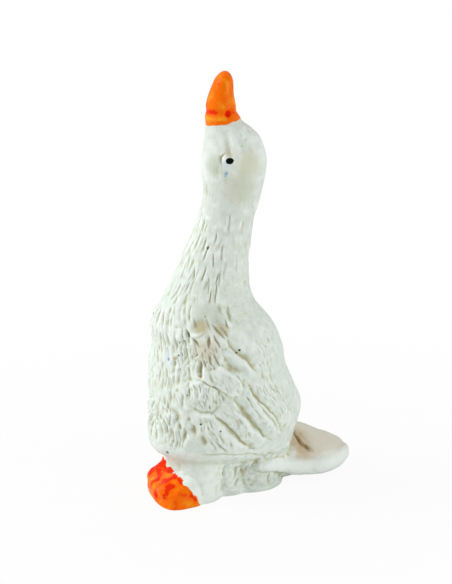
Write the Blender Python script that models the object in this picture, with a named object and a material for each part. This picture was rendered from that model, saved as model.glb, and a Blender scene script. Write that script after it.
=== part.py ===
"""Goose figurine: a standing goose with its bill raised, cast solid in one piece and painted.

Metres, +Z up. The goose faces -Y, so its left side is at +X. The origin is on the flat underside, below
the body's own axis. The trunk, neck, head and bill are one loft of level sections. The thighs, the feet,
the rump, the core between them and the tail are shells of their own. One fused skin is drawn over all of
them, carved with the feathers, the face and the creases of the tail, and cut off flat at the bottom.
"""

import math
from collections import namedtuple

import bmesh
import bpy
import numpy as np

HEIGHT = 0.1000
PAINT_COLOR = (0.62, 0.66, 0.58, 1.0)
PAINT_ROUGHNESS = 0.42

# A level section of the trunk, neck or head: its height, how far it reaches forwards and backwards from
# the body's axis, and its half width
Section = namedtuple("Section", "height front back half_width")
SECTIONS = (
    Section(0.0140, 0.0187, 0.0180, 0.0146),
    Section(0.0200, 0.0185, 0.0195, 0.0159),
    Section(0.0265, 0.0177, 0.0166, 0.0161),
    Section(0.0310, 0.0173, 0.0146, 0.0159),
    Section(0.0365, 0.0169, 0.0134, 0.0152),
    Section(0.0420, 0.0173, 0.0107, 0.0138),
    Section(0.0464, 0.0159, 0.0071, 0.0108),
    Section(0.0508, 0.0131, 0.0058, 0.0088),
    Section(0.0551, 0.0110, 0.0058, 0.0079),
    Section(0.0594, 0.0091, 0.0062, 0.0072),
    Section(0.0637, 0.0068, 0.0070, 0.0066),
    Section(0.0680, 0.0053, 0.0079, 0.0062),
    Section(0.0722, 0.0045, 0.0089, 0.0061),
    Section(0.0765, 0.0050, 0.0098, 0.0063),
    Section(0.0795, 0.0051, 0.0101, 0.0064),
    Section(0.0828, 0.0046, 0.0093, 0.0062),
    Section(0.0852, 0.0042, 0.0081, 0.0057),
    Section(0.0870, 0.0040, 0.0062, 0.0050),
    Section(0.0885, 0.0040, 0.0043, 0.0044),
    Section(0.0910, 0.0041, 0.0033, 0.0041),
    Section(0.0950, 0.0031, 0.0025, 0.0034),
    Section(0.0980, 0.0018, 0.0022, 0.0029),
    Section(0.1000, 0.0007, 0.0020, 0.0024),
)
BELLY_BOTTOM = 0.0080
BELLY_ROUNDNESS = 2.4
BILL_TIP_ROUNDING = 0.0036
BILL_TIP_ROUNDNESS = 3.0
HEAD_TURN = math.radians(-25)
TURN_FROM = 0.0560
TURN_TO = 0.0760

# The wings are laid out on a chart of the trunk's side: an angle in degrees, 0 at the side, -90 in front
# and 90 behind, and a height. One degree is this much of the radius on the chart.
CHART_RADIUS = 0.0165
TRUNK_BACK = 0.0202
WING_LOWEST = 0.0100
WING_RISE = 0.0008
WING_EDGE = 0.0040
WING_OUTLINE = (
    (-22, 0.0450),
    (-38, 0.0430),
    (-46, 0.0380),
    (-50, 0.0320),
    (-46, 0.0230),
    (-38, 0.0146),
    (-12, 0.0136),
    (14, 0.0122),
    (40, 0.0116),
    (41, 0.0168),
    (31, 0.0212),
    (25, 0.0265),
    (20, 0.0320),
    (14, 0.0380),
    (0, 0.0425),
)

# A feather of the wing: where it grows from and ends, its width and how far it stands out at its tip
Feather = namedtuple("Feather", "root tip width rise")
FEATHERS = (
    Feather((-66, 0.0305), (-50, 0.0240), 0.0050, 0.0005),
    Feather((-42, 0.0224), (-10, 0.0136), 0.0046, 0.0005),
    Feather((-29, 0.0254), (4, 0.0142), 0.0042, 0.0007),
    Feather((-13, 0.0286), (16, 0.0156), 0.0046, 0.0008),
    Feather((0, 0.0314), (27, 0.0174), 0.0048, 0.0005),
    Feather((-50, 0.0336), (-39, 0.0250), 0.0082, 0.0008),
    Feather((-36, 0.0340), (-11, 0.0284), 0.0054, 0.0008),
    Feather((-22, 0.0380), (0, 0.0324), 0.0032, 0.0008),
    Feather((-34, 0.0404), (-36, 0.0336), 0.0074, 0.0005),
    Feather((-52, 0.0419), (-68, 0.0414), 0.0030, 0.0005),
    Feather((-49, 0.0420), (-52, 0.0366), 0.0028, 0.0005),
)

# A carved channel: the places that it runs through, its half width and its depth
Channel = namedtuple("Channel", "places half_width depth")
CHANNELS = (
    Channel(((-31, 0.0226), (-24, 0.0198), (-17, 0.0178), (-11, 0.0162), (-3, 0.0140)), 0.00080, 0.0012),
    Channel(((-17, 0.0270), (-13, 0.0235), (-7, 0.0208), (-1, 0.0189), (10, 0.0159)), 0.00080, 0.0013),
    Channel(((-4, 0.0293), (0, 0.0261), (3, 0.0236), (7, 0.0214), (19, 0.0173)), 0.00085, 0.0011),
    Channel(((10, 0.0396), (16, 0.0355), (19, 0.0324), (20, 0.0280)), 0.00050, 0.0004),
    Channel(((-16, 0.0398), (-13, 0.0381), (-5, 0.0360), (1, 0.0334)), 0.00080, 0.0009),
    Channel(((-23, 0.0359), (-18, 0.0344), (-13, 0.0335)), 0.00095, 0.0007),
    Channel(((-62, 0.0304), (-54, 0.0314), (-46, 0.0319), (-38, 0.0311), (-24, 0.0284)), 0.00045, 0.0006),
    Channel(((-51, 0.0250), (-44, 0.0240), (-36, 0.0242), (-29, 0.0260)), 0.00060, 0.0006),
    Channel(((-72, 0.0246), (-64, 0.0226), (-59, 0.0184)), 0.00070, 0.0006),
    Channel(((-44, 0.0358), (-44, 0.0338), (-43, 0.0323)), 0.00065, 0.0014),
    Channel(((-50.5, 0.0207), (-47, 0.0182)), 0.00060, 0.0008),
    Channel(((-41, 0.0182), (-38, 0.0160)), 0.00060, 0.0009),
    Channel(((-53, 0.0428), (-50.5, 0.0412)), 0.00055, 0.0009),
    Channel(((-45.5, 0.0410), (-41.5, 0.0395)), 0.00045, 0.0007),
    Channel(((-31, 0.0415), (-34, 0.0394)), 0.00050, 0.0009),
    Channel(((-26.5, 0.0418), (-25, 0.0396)), 0.00045, 0.0007),
    Channel(((-24, 0.0438), (-18, 0.0412)), 0.00045, 0.0008),
    Channel(((-41, 0.0365), (-38.5, 0.0347)), 0.00045, 0.0006),
    Channel(((-36, 0.0379), (-33, 0.0353)), 0.00045, 0.0007),
    Channel(((-32, 0.0381), (-28, 0.0352)), 0.00045, 0.0007),
    Channel(((-40, 0.0134), (-20, 0.0133), (-4, 0.0125), (22, 0.0106)), 0.00050, 0.0005),
)
SHOULDER_HOLLOW = Channel(((-44, 0.0436), (-31, 0.0441), (-15, 0.0439), (-9, 0.0432)), 0.0012, 0.0006)
STROKES = 90
STROKE_LENGTH = 0.0042
STROKE_HALF_WIDTH = 0.00050
STROKE_DEPTH = 0.00055
STROKE_LOWEST = 0.0170
STROKE_HIGHEST = 0.0640
STROKE_LEAN = 12
STROKE_FRONT = -88
STROKE_BACK = 30
BREAST_BACK = -52
BREAST_TOP = 0.0450

# The head, in its own turned frame: sideways, backwards and up
EYE_BACK = 0.0004
EYE_HEIGHT = 0.0804
CROWN_HEIGHT = 0.0840
JAW_HEIGHT = 0.0695
EYE_RISE = 0.0007
EYE_RADIUS = 0.0011
SOCKET_DEPTH = 0.0004
SOCKET_RADIUS = 0.0020
FACE_FROM_MIDDLE = 0.0025
BROW = ((0.0009, 0.0872), (0.0017, 0.0847), (0.0024, 0.0829), (0.0028, 0.0810), (0.0021, 0.0770))
BROW_RISE = 0.0005
BROW_HALF_WIDTH = 0.0013
NOSTRIL_BACK = 0.0008
NOSTRIL_HEIGHT = 0.0906
NOSTRIL_RADIUS = 0.0007
NOSTRIL_DEPTH = 0.0007
BILL_COLLAR_HEIGHT = 0.0909
BILL_COLLAR_GROOVE = 0.0003
BILL_COLLAR_HALF_WIDTH = 0.0007

# The thighs under the breast, the two feet as one mass with its left side further forward, the rump behind
# them and the core that joins all of these. A reach below 0 ends short of the body's axis.
CORE_SECTIONS = (
    Section(-0.0050, 0.0080, 0.0060, 0.0074),
    Section(0.0060, 0.0080, 0.0060, 0.0084),
    Section(0.0140, 0.0080, 0.0060, 0.0110),
)
THIGH_SIDE = 0.0040
THIGH_SECTIONS = (
    Section(-0.0050, 0.0146, -0.0034, 0.0050),
    Section(0.0040, 0.0142, -0.0032, 0.0052),
    Section(0.0090, 0.0134, -0.0028, 0.0057),
    Section(0.0130, 0.0146, -0.0010, 0.0076),
    Section(0.0170, 0.0140, 0.0010, 0.0078),
)
FOOT_CORNER = 0.66
FOOT_SLANT = 0.20
FOOT_SECTIONS = (
    Section(-0.0050, 0.0188, -0.0066, 0.0096),
    Section(0.0000, 0.0189, -0.0066, 0.0096),
    Section(0.0018, 0.0193, -0.0066, 0.0096),
    Section(0.0034, 0.0192, -0.0066, 0.0094),
    Section(0.0050, 0.0177, -0.0068, 0.0088),
    Section(0.0063, 0.0154, -0.0072, 0.0078),
    Section(0.0076, 0.0126, -0.0078, 0.0060),
)
RUMP_SECTIONS = (
    Section(-0.0050, 0.0024, 0.0150, 0.0086),
    Section(0.0010, 0.0024, 0.0152, 0.0089),
    Section(0.0045, 0.0028, 0.0155, 0.0100),
    Section(0.0085, 0.0038, 0.0158, 0.0117),
    Section(0.0120, 0.0050, 0.0164, 0.0131),
    Section(0.0160, 0.0060, 0.0160, 0.0130),
)

# An upright cut across the tail: how far back it stands, its half width, and its top and its underside
TailCut = namedtuple("TailCut", "back half_width top bottom")
TAIL_CUTS = (
    TailCut(0.0040, 0.0090, 0.0165, 0.0004),
    TailCut(0.0120, 0.0104, 0.0154, 0.0006),
    TailCut(0.0170, 0.0110, 0.0139, 0.0006),
    TailCut(0.0220, 0.0114, 0.0119, 0.0003),
    TailCut(0.0270, 0.0100, 0.0095, 0.0006),
    TailCut(0.0310, 0.0073, 0.0074, 0.0017),
    TailCut(0.0333, 0.0050, 0.0059, 0.0024),
    TailCut(0.0345, 0.0018, 0.0047, 0.0034),
)
TAIL_EDGE = 0.0063
TAIL_EDGE_SHARE = 0.60
TAIL_INSET = 0.0013
TAIL_TOP_CORNER = 1.55
TAIL_UNDER_CORNER = 0.8

# A ring of the bolster along each edge of the tail: how far back, how far aside and how high it stands
BolsterRing = namedtuple("BolsterRing", "back aside height radius")
BOLSTER_RINGS = (
    BolsterRing(0.0026, 0.0107, 0.0077, 0.0009),
    BolsterRing(0.0045, 0.0105, 0.0075, 0.0019),
    BolsterRing(0.0080, 0.0099, 0.0068, 0.0021),
    BolsterRing(0.0120, 0.0090, 0.0058, 0.0023),
    BolsterRing(0.0170, 0.0087, 0.0047, 0.0024),
    BolsterRing(0.0220, 0.0090, 0.0042, 0.00245),
    BolsterRing(0.0270, 0.0077, 0.0041, 0.00235),
    BolsterRing(0.0310, 0.0051, 0.0042, 0.0022),
    BolsterRing(0.0333, 0.0031, 0.00415, 0.0017),
    BolsterRing(0.0344, 0.0012, 0.00405, 0.0006),
)

# The creases of the tail's flank, as places backwards and up: over the bolster and across the root
TAIL_SEAM = ((0.0140, 0.0075), (0.0300, 0.0056))
SEAM_DEPTH = 0.0003
SEAM_HALF_WIDTH = 0.0005
ROOT_CREASE = ((0.0126, 0.0143), (0.0185, 0.0088))
ROOT_CREASE_DEPTH = 0.0011
ROOT_CREASE_HALF_WIDTH = 0.0006
TAIL_FROM_MIDDLE = 0.0060

# How finely it is all made: the width of the change between one area and the next, the points round a
# section and the sections of each shell, and the cells, the smoothing and the faces of the fused skin
SOFTNESS = 0.0011
RING_POINTS = 96
TRUNK_RINGS = 140
FOREHEAD_RINGS = 24
TAIL_RINGS = 70
BLOCK_RINGS = 40
SKIN_CELL = 0.00042
SKIN_SMOOTHING = 6
TRIANGLES = 11400
CUTTER_SIZE = (0.12, 0.12, 0.02)
SEED = 7


def clear_scene():
    """Take every object out of the scene."""
    for item in list(bpy.data.objects):
        bpy.data.objects.remove(item, do_unlink=True)


def paint():
    """The satin off-white paint that most of the casting shows."""
    material = bpy.data.materials.new("satin_white_paint")
    material.use_nodes = True
    shader = material.node_tree.nodes["Principled BSDF"]
    shader.inputs["Base Color"].default_value = PAINT_COLOR
    shader.inputs["Roughness"].default_value = PAINT_ROUGHNESS
    shader.inputs["Metallic"].default_value = 0.0
    material.diffuse_color = PAINT_COLOR
    return material


def through(stations, sizes, at):
    """A smooth cubic through the sizes given at rising stations, read at any place."""
    stations = np.asarray(stations)
    sizes = np.asarray(sizes)
    slopes = np.gradient(sizes, stations)
    cell = np.clip(np.searchsorted(stations, at) - 1, 0, len(stations) - 2)
    span = stations[cell + 1] - stations[cell]
    t = (at - stations[cell]) / span
    start = (2 * t**3 - 3 * t**2 + 1) * sizes[cell]
    leave = (t**3 - 2 * t**2 + t) * span * slopes[cell]
    end = (3 * t**2 - 2 * t**3) * sizes[cell + 1]
    arrive = (t**3 - t**2) * span * slopes[cell + 1]
    return start + leave + end + arrive


def level_sizes(sections, heights):
    """Front reach, back reach and half width of a stack of level sections at any heights."""
    stations = [section.height for section in sections]
    held = np.clip(heights, stations[0], stations[-1])
    front = through(stations, [section.front for section in sections], held)
    back = through(stations, [section.back for section in sections], held)
    half_width = through(stations, [section.half_width for section in sections], held)
    return front, back, half_width


def smooth_step(low, high, value):
    """0 below low, 1 above high, with an easy change between them."""
    t = np.clip((value - low) / (high - low), 0.0, 1.0)
    return t * t * (3.0 - 2.0 * t)


def turn_at(heights):
    """How far the neck and head are turned about the upright axis at any heights."""
    return HEAD_TURN * smooth_step(TURN_FROM, TURN_TO, heights)


def turned(points, angle):
    """The points turned about the upright axis by an angle for each."""
    x = points[..., 0] * np.cos(angle) - points[..., 1] * np.sin(angle)
    y = points[..., 0] * np.sin(angle) + points[..., 1] * np.cos(angle)
    return np.stack([x, y, points[..., 2]], axis=-1)


def level_rings(sections, heights, shrink, offset=0.0, corner=1.0):
    """Rings of points at the heights, each an oval through its section, drawn in by its shrink."""
    front, back, half_width = level_sizes(sections, heights)
    angles = np.linspace(0.0, 2 * np.pi, RING_POINTS, endpoint=False)
    across = np.sign(np.cos(angles)) * np.abs(np.cos(angles)) ** corner
    along = np.sign(np.sin(angles)) * np.abs(np.sin(angles)) ** corner
    x = offset + (half_width * shrink)[:, None] * across
    middle = (back - front) / 2
    y = middle[:, None] + ((front + back) / 2 * shrink)[:, None] * along
    z = np.repeat(heights[:, None], RING_POINTS, axis=1)
    return np.stack([x, y, z], axis=-1)


def shell(rings):
    """Points and faces of a closed shell over rings of points, with a point at the middle of each end."""
    count, around = rings.shape[:2]
    points = np.concatenate([rings.reshape(-1, 3), rings[[0, -1]].mean(axis=1)])
    index = np.arange(count * around).reshape(count, around)
    beside = np.roll(index, -1, axis=1)
    sides = np.stack([index[:-1], beside[:-1], beside[1:], index[1:]], axis=-1).reshape(-1, 4)
    first = np.stack([beside[0], index[0], np.full(around, count * around)], axis=-1)
    last = np.stack([index[-1], beside[-1], np.full(around, count * around + 1)], axis=-1)
    return points, sides.tolist() + first.tolist() + last.tolist()


def trunk_shell():
    """The trunk, neck, head and bill, round at the belly and at the tip of the bill."""
    share = (1 - np.cos(np.linspace(0.0, np.pi, TRUNK_RINGS))) / 2
    heights = BELLY_BOTTOM + (HEIGHT - BELLY_BOTTOM) * share
    heights = np.concatenate([heights[1:-1], np.linspace(CROWN_HEIGHT, NOSTRIL_HEIGHT, FOREHEAD_RINGS)])
    heights = np.sort(heights)
    low = np.clip((SECTIONS[0].height - heights) / (SECTIONS[0].height - BELLY_BOTTOM), 0.0, 1.0)
    high = np.clip((heights - HEIGHT + BILL_TIP_ROUNDING) / BILL_TIP_ROUNDING, 0.0, 1.0)
    shrink = np.sqrt(1.0 - low**BELLY_ROUNDNESS) * np.sqrt(1.0 - high**BILL_TIP_ROUNDNESS)
    rings = level_rings(SECTIONS, heights, shrink)
    return shell(turned(rings, turn_at(heights)[:, None]))


def thigh_shell(side):
    """The thigh on a side, or between the two for side 0, an oval column that widens into the breast."""
    heights = np.linspace(THIGH_SECTIONS[0].height, THIGH_SECTIONS[-1].height, BLOCK_RINGS)
    return shell(level_rings(THIGH_SECTIONS, heights, np.ones_like(heights), side * THIGH_SIDE))


def foot_shell():
    """Both feet as one thick mass, rounded in front, running up the front of the legs."""
    heights = np.linspace(FOOT_SECTIONS[0].height, FOOT_SECTIONS[-1].height, BLOCK_RINGS)
    rings = level_rings(FOOT_SECTIONS, heights, np.ones_like(heights), 0.0, FOOT_CORNER)
    rings[..., 1] -= FOOT_SLANT * rings[..., 0]
    return shell(rings)


def block_shell(sections):
    """An upright block through a few level sections, such as the rump or the core."""
    heights = np.linspace(sections[0].height, sections[-1].height, BLOCK_RINGS)
    return shell(level_rings(sections, heights, np.ones_like(heights)))


def size_along(rows, name, backs):
    """One size of the tail's cuts or rings at any places along the tail."""
    stations = [row.back for row in rows]
    held = np.clip(backs, stations[0], stations[-1])
    return through(stations, [getattr(row, name) for row in rows], held)


def tail_slab_shell():
    """The slab of the tail, its top sloped to both sides and its underside rounded."""
    backs = np.linspace(TAIL_CUTS[0].back, TAIL_CUTS[-1].back, TAIL_RINGS)
    top = size_along(TAIL_CUTS, "top", backs)
    bottom = size_along(TAIL_CUTS, "bottom", backs)
    widest = size_along(TAIL_CUTS, "half_width", backs)
    half_width = np.maximum(widest - TAIL_INSET, widest / 2)
    edge = np.minimum(TAIL_EDGE, bottom + TAIL_EDGE_SHARE * (top - bottom))
    angles = np.linspace(0.0, 2 * np.pi, RING_POINTS, endpoint=False)
    corner = np.where(np.sin(angles) > 0.0, TAIL_TOP_CORNER, TAIL_UNDER_CORNER)
    across = np.sign(np.cos(angles)) * np.abs(np.cos(angles)) ** corner
    up = np.sign(np.sin(angles)) * np.abs(np.sin(angles)) ** corner
    reach = np.where(up > 0.0, (top - edge)[:, None], (edge - bottom)[:, None])
    z = edge[:, None] + reach * up
    y = np.repeat(backs[:, None], RING_POINTS, axis=1)
    return shell(np.stack([half_width[:, None] * across, y, z], axis=-1)[:, ::-1])


def bolster_shell(side):
    """The round bolster along one edge of the tail, which starts on the flank of the rump."""
    backs = np.linspace(BOLSTER_RINGS[0].back, BOLSTER_RINGS[-1].back, TAIL_RINGS)
    radius = size_along(BOLSTER_RINGS, "radius", backs)[:, None]
    angles = np.linspace(0.0, 2 * np.pi, RING_POINTS, endpoint=False)
    x = side * size_along(BOLSTER_RINGS, "aside", backs)[:, None] + radius * np.cos(angles)
    z = size_along(BOLSTER_RINGS, "height", backs)[:, None] + radius * np.sin(angles)
    y = np.repeat(backs[:, None], RING_POINTS, axis=1)
    return shell(np.stack([x, y, z], axis=-1)[:, ::-1])


def fused_skin():
    """One closed skin over all the shells, evened out where they meet, as points and faces."""
    shells = [trunk_shell(), block_shell(CORE_SECTIONS), block_shell(RUMP_SECTIONS), foot_shell()]
    shells.extend([tail_slab_shell(), bolster_shell(-1), bolster_shell(1)])
    shells.extend(thigh_shell(side) for side in (-1, 0, 1))
    points = []
    faces = []
    for shell_points, shell_faces in shells:
        start = sum(len(block) for block in points)
        points.append(shell_points)
        faces.extend([start + corner for corner in face] for face in shell_faces)
    mesh = bpy.data.meshes.new("shells")
    mesh.from_pydata(np.concatenate(points).tolist(), [], faces)
    bench = bpy.data.objects.new("shells", mesh)
    bpy.context.scene.collection.objects.link(bench)
    remesh = bench.modifiers.new("one skin", "REMESH")
    remesh.mode = "VOXEL"
    remesh.voxel_size = SKIN_CELL
    smooth = bench.modifiers.new("even out", "SMOOTH")
    smooth.factor = 0.5
    smooth.iterations = SKIN_SMOOTHING
    graph = bpy.context.evaluated_depsgraph_get()
    skin = bpy.data.meshes.new_from_object(bench.evaluated_get(graph))
    bpy.data.objects.remove(bench, do_unlink=True)
    return skin


def side_and_chart(points):
    """Which side of the goose a point is on, and its place round the trunk and up, as lengths."""
    front, back, half_width = level_sizes(SECTIONS, points[:, 2])
    middle = (back - front) / 2
    length = (front + back) / 2
    side = np.where(points[:, 0] >= 0.0, 1, -1)
    angle = np.arctan2((points[:, 1] - middle) / length, np.abs(points[:, 0]) / half_width)
    return side, np.stack([angle * CHART_RADIUS, points[:, 2]], axis=-1)


def charted(places):
    """Places given as an angle in degrees and a height, on the chart."""
    return np.array([(math.radians(angle) * CHART_RADIUS, height) for angle, height in places])


def distance_along(chart, start, end):
    """How far each point is from a line, and how far along it the nearest place is, from 0 to 1."""
    line = np.asarray(end) - np.asarray(start)
    along = np.clip((chart - start) @ line / (line @ line), 0.0, 1.0)
    gap = chart - start - along[:, None] * line
    return np.hypot(gap[:, 0], gap[:, 1]), along


def carved_line(chart, start, end, half_width, depth):
    """A rounded groove that fades towards both of its ends, as a depth at each point."""
    distance, along = distance_along(chart, start, end)
    fade = np.sqrt(np.clip(np.sin(np.pi * np.clip(along, 0.02, 0.98)), 0.0, 1.0))
    return depth * fade * np.exp(-((distance / half_width) ** 2))


def carved_channel(chart, channel):
    """A channel through several places, narrower and shallower at its two ends."""
    places = charted(channel.places)
    steps = np.hypot(*np.diff(places, axis=0).T)
    starts = np.concatenate([[0.0], np.cumsum(steps)])
    cut = np.zeros(len(chart))
    for number, step in enumerate(steps):
        distance, along = distance_along(chart, places[number], places[number + 1])
        share = (starts[number] + along * step) / starts[-1]
        fade = np.clip(np.sin(np.pi * (0.06 + 0.88 * share)), 0.0, 1.0) ** 0.6
        profile = np.exp(-((distance / (channel.half_width * (0.5 + 0.5 * fade))) ** 2))
        cut = np.maximum(cut, channel.depth * fade * profile)
    return cut


def inside_outline(chart, outline):
    """How far inside a closed outline each point lies, negative outside."""
    nearest = np.full(len(chart), np.inf)
    inside = np.zeros(len(chart), bool)
    for start, end in zip(outline, np.roll(outline, -1, axis=0)):
        nearest = np.minimum(nearest, distance_along(chart, start, end)[0])
        crosses = (start[1] > chart[:, 1]) != (end[1] > chart[:, 1])
        rise = end[1] - start[1]
        rise = rise if rise else 1.0
        place = start[0] + (chart[:, 1] - start[1]) * (end[0] - start[0]) / rise
        inside ^= crosses & (chart[:, 0] < place)
    return np.where(inside, nearest, -nearest)


def raised_feather(chart, feather):
    """One feather that thickens from its root to its rounded tip, as a height at each point."""
    root, tip = charted([feather.root, feather.tip])
    length = np.hypot(*(tip - root))
    along_way = (tip - root) / length
    across_way = np.array([-along_way[1], along_way[0]])
    along = (chart - root) @ along_way / length
    across = (chart - root) @ across_way / (feather.width / 2)
    blade = np.clip(1.0 - across**2, 0.0, 1.0) ** 0.5
    end = np.clip((1.0 - along) / (0.5 * feather.width / length), 0.0, 1.0) ** 0.5
    start = smooth_step(0.0, 0.45, along)
    return feather.rise * start * blade * end


def wing_relief(chart):
    """The raised wing with its overlapping feathers and the channels between them."""
    inside = inside_outline(chart, charted(WING_OUTLINE))
    relief = WING_RISE * smooth_step(-WING_EDGE / 2, WING_EDGE / 2, inside)
    feathers = np.zeros(len(chart))
    for feather in FEATHERS:
        feathers = np.maximum(feathers, raised_feather(chart, feather))
    relief += feathers
    cuts = carved_channel(chart, SHOULDER_HOLLOW)
    for channel in CHANNELS:
        cuts = np.maximum(cuts, carved_channel(chart, channel))
    return relief - cuts


def strokes_relief(chart, side):
    """Short upright strokes down the neck and the breast, on both sides."""
    rng = np.random.default_rng(SEED)
    relief = np.zeros(len(chart))
    for number in range(STROKES):
        height = rng.uniform(STROKE_LOWEST, STROKE_HIGHEST)
        angle = rng.uniform(STROKE_FRONT, BREAST_BACK if height < BREAST_TOP else STROKE_BACK)
        lean = math.radians(rng.uniform(-STROKE_LEAN, STROKE_LEAN))
        start = charted([(angle, height)])[0]
        end = start - STROKE_LENGTH * np.array([math.sin(lean), math.cos(lean)])
        cut = carved_line(chart, start, end, STROKE_HALF_WIDTH, STROKE_DEPTH)
        relief -= np.where(side == (-1 if number % 2 else 1), cut, 0.0)
    return relief


def face_relief(points):
    """Eyes, brows and nostrils on both sides of the head, and the groove round the bill."""
    head = turned(points, -turn_at(points[:, 2]))
    chart = head[:, 1:]
    beside = smooth_step(FACE_FROM_MIDDLE - SOFTNESS, FACE_FROM_MIDDLE + SOFTNESS, np.abs(head[:, 0]))
    beside *= smooth_step(JAW_HEIGHT - SOFTNESS, JAW_HEIGHT + SOFTNESS, points[:, 2])
    eye = np.array([EYE_BACK, EYE_HEIGHT])
    from_eye = np.hypot(*(chart - eye).T)
    relief = EYE_RISE * np.exp(-((from_eye / EYE_RADIUS) ** 2))
    relief -= SOCKET_DEPTH * np.exp(-((from_eye / SOCKET_RADIUS) ** 4))
    ridge = np.zeros(len(chart))
    for start, end in zip(BROW, BROW[1:]):
        distance = distance_along(chart, start, end)[0]
        ridge = np.maximum(ridge, BROW_RISE * np.exp(-((distance / BROW_HALF_WIDTH) ** 2)))
    relief += ridge
    nostril = np.hypot(*(chart - np.array([NOSTRIL_BACK, NOSTRIL_HEIGHT])).T)
    relief -= NOSTRIL_DEPTH * np.exp(-((nostril / NOSTRIL_RADIUS) ** 2))
    relief *= beside
    collar = np.exp(-(((points[:, 2] - BILL_COLLAR_HEIGHT) / BILL_COLLAR_HALF_WIDTH) ** 2))
    return relief - BILL_COLLAR_GROOVE * collar


def tail_relief(points):
    """The seam over each bolster of the tail and the crease across its root, on both flanks."""
    flank = points[:, 1:]
    beside = smooth_step(TAIL_FROM_MIDDLE - SOFTNESS, TAIL_FROM_MIDDLE + SOFTNESS, np.abs(points[:, 0]))
    relief = -carved_line(flank, *TAIL_SEAM, SEAM_HALF_WIDTH, SEAM_DEPTH)
    relief -= carved_line(flank, *ROOT_CREASE, ROOT_CREASE_HALF_WIDTH, ROOT_CREASE_DEPTH)
    return relief * beside


def carve(skin):
    """Move the skin along its own normals by all the carving."""
    count = len(skin.vertices)
    points = np.empty(count * 3)
    skin.vertices.foreach_get("co", points)
    points = points.reshape(-1, 3)
    normals = np.empty(count * 3, np.float32)
    skin.vertex_normals.foreach_get("vector", normals)
    normals = normals.reshape(-1, 3).astype(float)
    side, chart = side_and_chart(points)
    on_trunk = 1.0 - smooth_step(TRUNK_BACK - SOFTNESS, TRUNK_BACK + SOFTNESS, points[:, 1])
    on_trunk *= smooth_step(WING_LOWEST - SOFTNESS, WING_LOWEST + SOFTNESS, points[:, 2])
    relief = wing_relief(chart) * on_trunk
    relief += strokes_relief(chart, side) * on_trunk
    relief += face_relief(points)
    relief += tail_relief(points)
    points = points + normals * relief[:, None]
    skin.vertices.foreach_set("co", points.ravel())
    skin.update()


def flat_cutter():
    """A block whose top is the level that the figurine stands on."""
    mesh = bpy.data.meshes.new("flat_cutter")
    block = bmesh.new()
    bmesh.ops.create_cube(block, size=1.0)
    bmesh.ops.scale(block, vec=CUTTER_SIZE, verts=block.verts)
    bmesh.ops.translate(block, vec=(0.0, 0.0, -CUTTER_SIZE[2] / 2), verts=block.verts)
    block.to_mesh(mesh)
    block.free()
    cutter = bpy.data.objects.new("flat_cutter", mesh)
    bpy.context.scene.collection.objects.link(cutter)
    cutter.hide_render = True
    cutter.display_type = "WIRE"
    return cutter


def main():
    """Build the figurine as one solid."""
    clear_scene()
    skin = fused_skin()
    carve(skin)
    skin.name = "goose_figurine"
    skin.materials.clear()
    skin.materials.append(paint())
    skin.shade_smooth()
    goose = bpy.data.objects.new("goose_figurine", skin)
    bpy.context.scene.collection.objects.link(goose)
    decimate = goose.modifiers.new("fewer faces", "DECIMATE")
    skin.calc_loop_triangles()
    decimate.ratio = TRIANGLES / len(skin.loop_triangles)
    decimate.use_collapse_triangulate = True
    flat = goose.modifiers.new("flat underside", "BOOLEAN")
    flat.operation = "DIFFERENCE"
    flat.solver = "EXACT"
    flat.object = flat_cutter()


main()
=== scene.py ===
"""Painted goose figurine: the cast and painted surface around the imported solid.

The goose is one casting, so the visual model is one piece. Its trunk, neck, head and bill are one loft of
level sections. The thighs, the feet, the rump, the core and the tail are closed shells of their own. One
skin is drawn over all of them, moved along its own normals by the carving, and cut off flat at the bottom.
All sizes are in millimetres until the mesh is written, and places round the trunk are in degrees: 0 is the
side, -90 the front and 90 the back.
"""

import logging
import math
from dataclasses import dataclass, field, replace
from enum import Enum

import bmesh
import bpy
import numpy as np
from mathutils import Matrix, Vector


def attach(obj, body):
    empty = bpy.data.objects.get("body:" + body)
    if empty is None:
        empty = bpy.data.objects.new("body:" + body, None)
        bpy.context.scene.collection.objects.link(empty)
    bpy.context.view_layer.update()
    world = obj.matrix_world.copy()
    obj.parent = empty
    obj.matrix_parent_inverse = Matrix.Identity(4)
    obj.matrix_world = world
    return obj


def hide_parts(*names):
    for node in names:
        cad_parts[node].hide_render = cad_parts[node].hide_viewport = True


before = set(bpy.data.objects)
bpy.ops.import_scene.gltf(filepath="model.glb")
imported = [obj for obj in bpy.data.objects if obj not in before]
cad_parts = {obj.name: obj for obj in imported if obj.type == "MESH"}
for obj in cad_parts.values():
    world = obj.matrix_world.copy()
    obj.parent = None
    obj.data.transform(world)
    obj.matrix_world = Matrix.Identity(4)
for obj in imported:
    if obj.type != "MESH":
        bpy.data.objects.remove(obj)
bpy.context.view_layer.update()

LOG = logging.getLogger("goose")
MM = 0.001
NODE = "goose_figurine"
SOFTNESS = 1.1
LIP = 0.42
LIP_OFFSET = 2.1
LIP_WIDTH = 0.9
NEAR_FLOOR = 0.6
LATTICE = 32
LATTICE_SHIFT = 100.5


class Side(Enum):
    """The two sides of the goose, as the sign of their X."""

    LEFT = 1
    RIGHT = -1


@dataclass(frozen=True)
class Section:
    """A level section: its height, its reach to the front and the back of the axis, and its half width."""

    height: float
    front: float
    back: float
    half_width: float


@dataclass(frozen=True)
class TailCut:
    """An upright cut across the tail: how far back it stands, its half width, its top and its underside."""

    back: float
    half_width: float
    top: float
    bottom: float


@dataclass(frozen=True)
class BolsterRing:
    """A ring of the tail's bolster: how far back, how far aside and how high it lies, and its radius."""

    back: float
    aside: float
    height: float
    radius: float


@dataclass(frozen=True)
class Feather:
    """A wing feather: its root and its tip, as angle and height, its width, its rise and its barbs."""

    root: tuple[float, float]
    tip: tuple[float, float]
    width: float
    rise: float
    barbs: int


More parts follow.
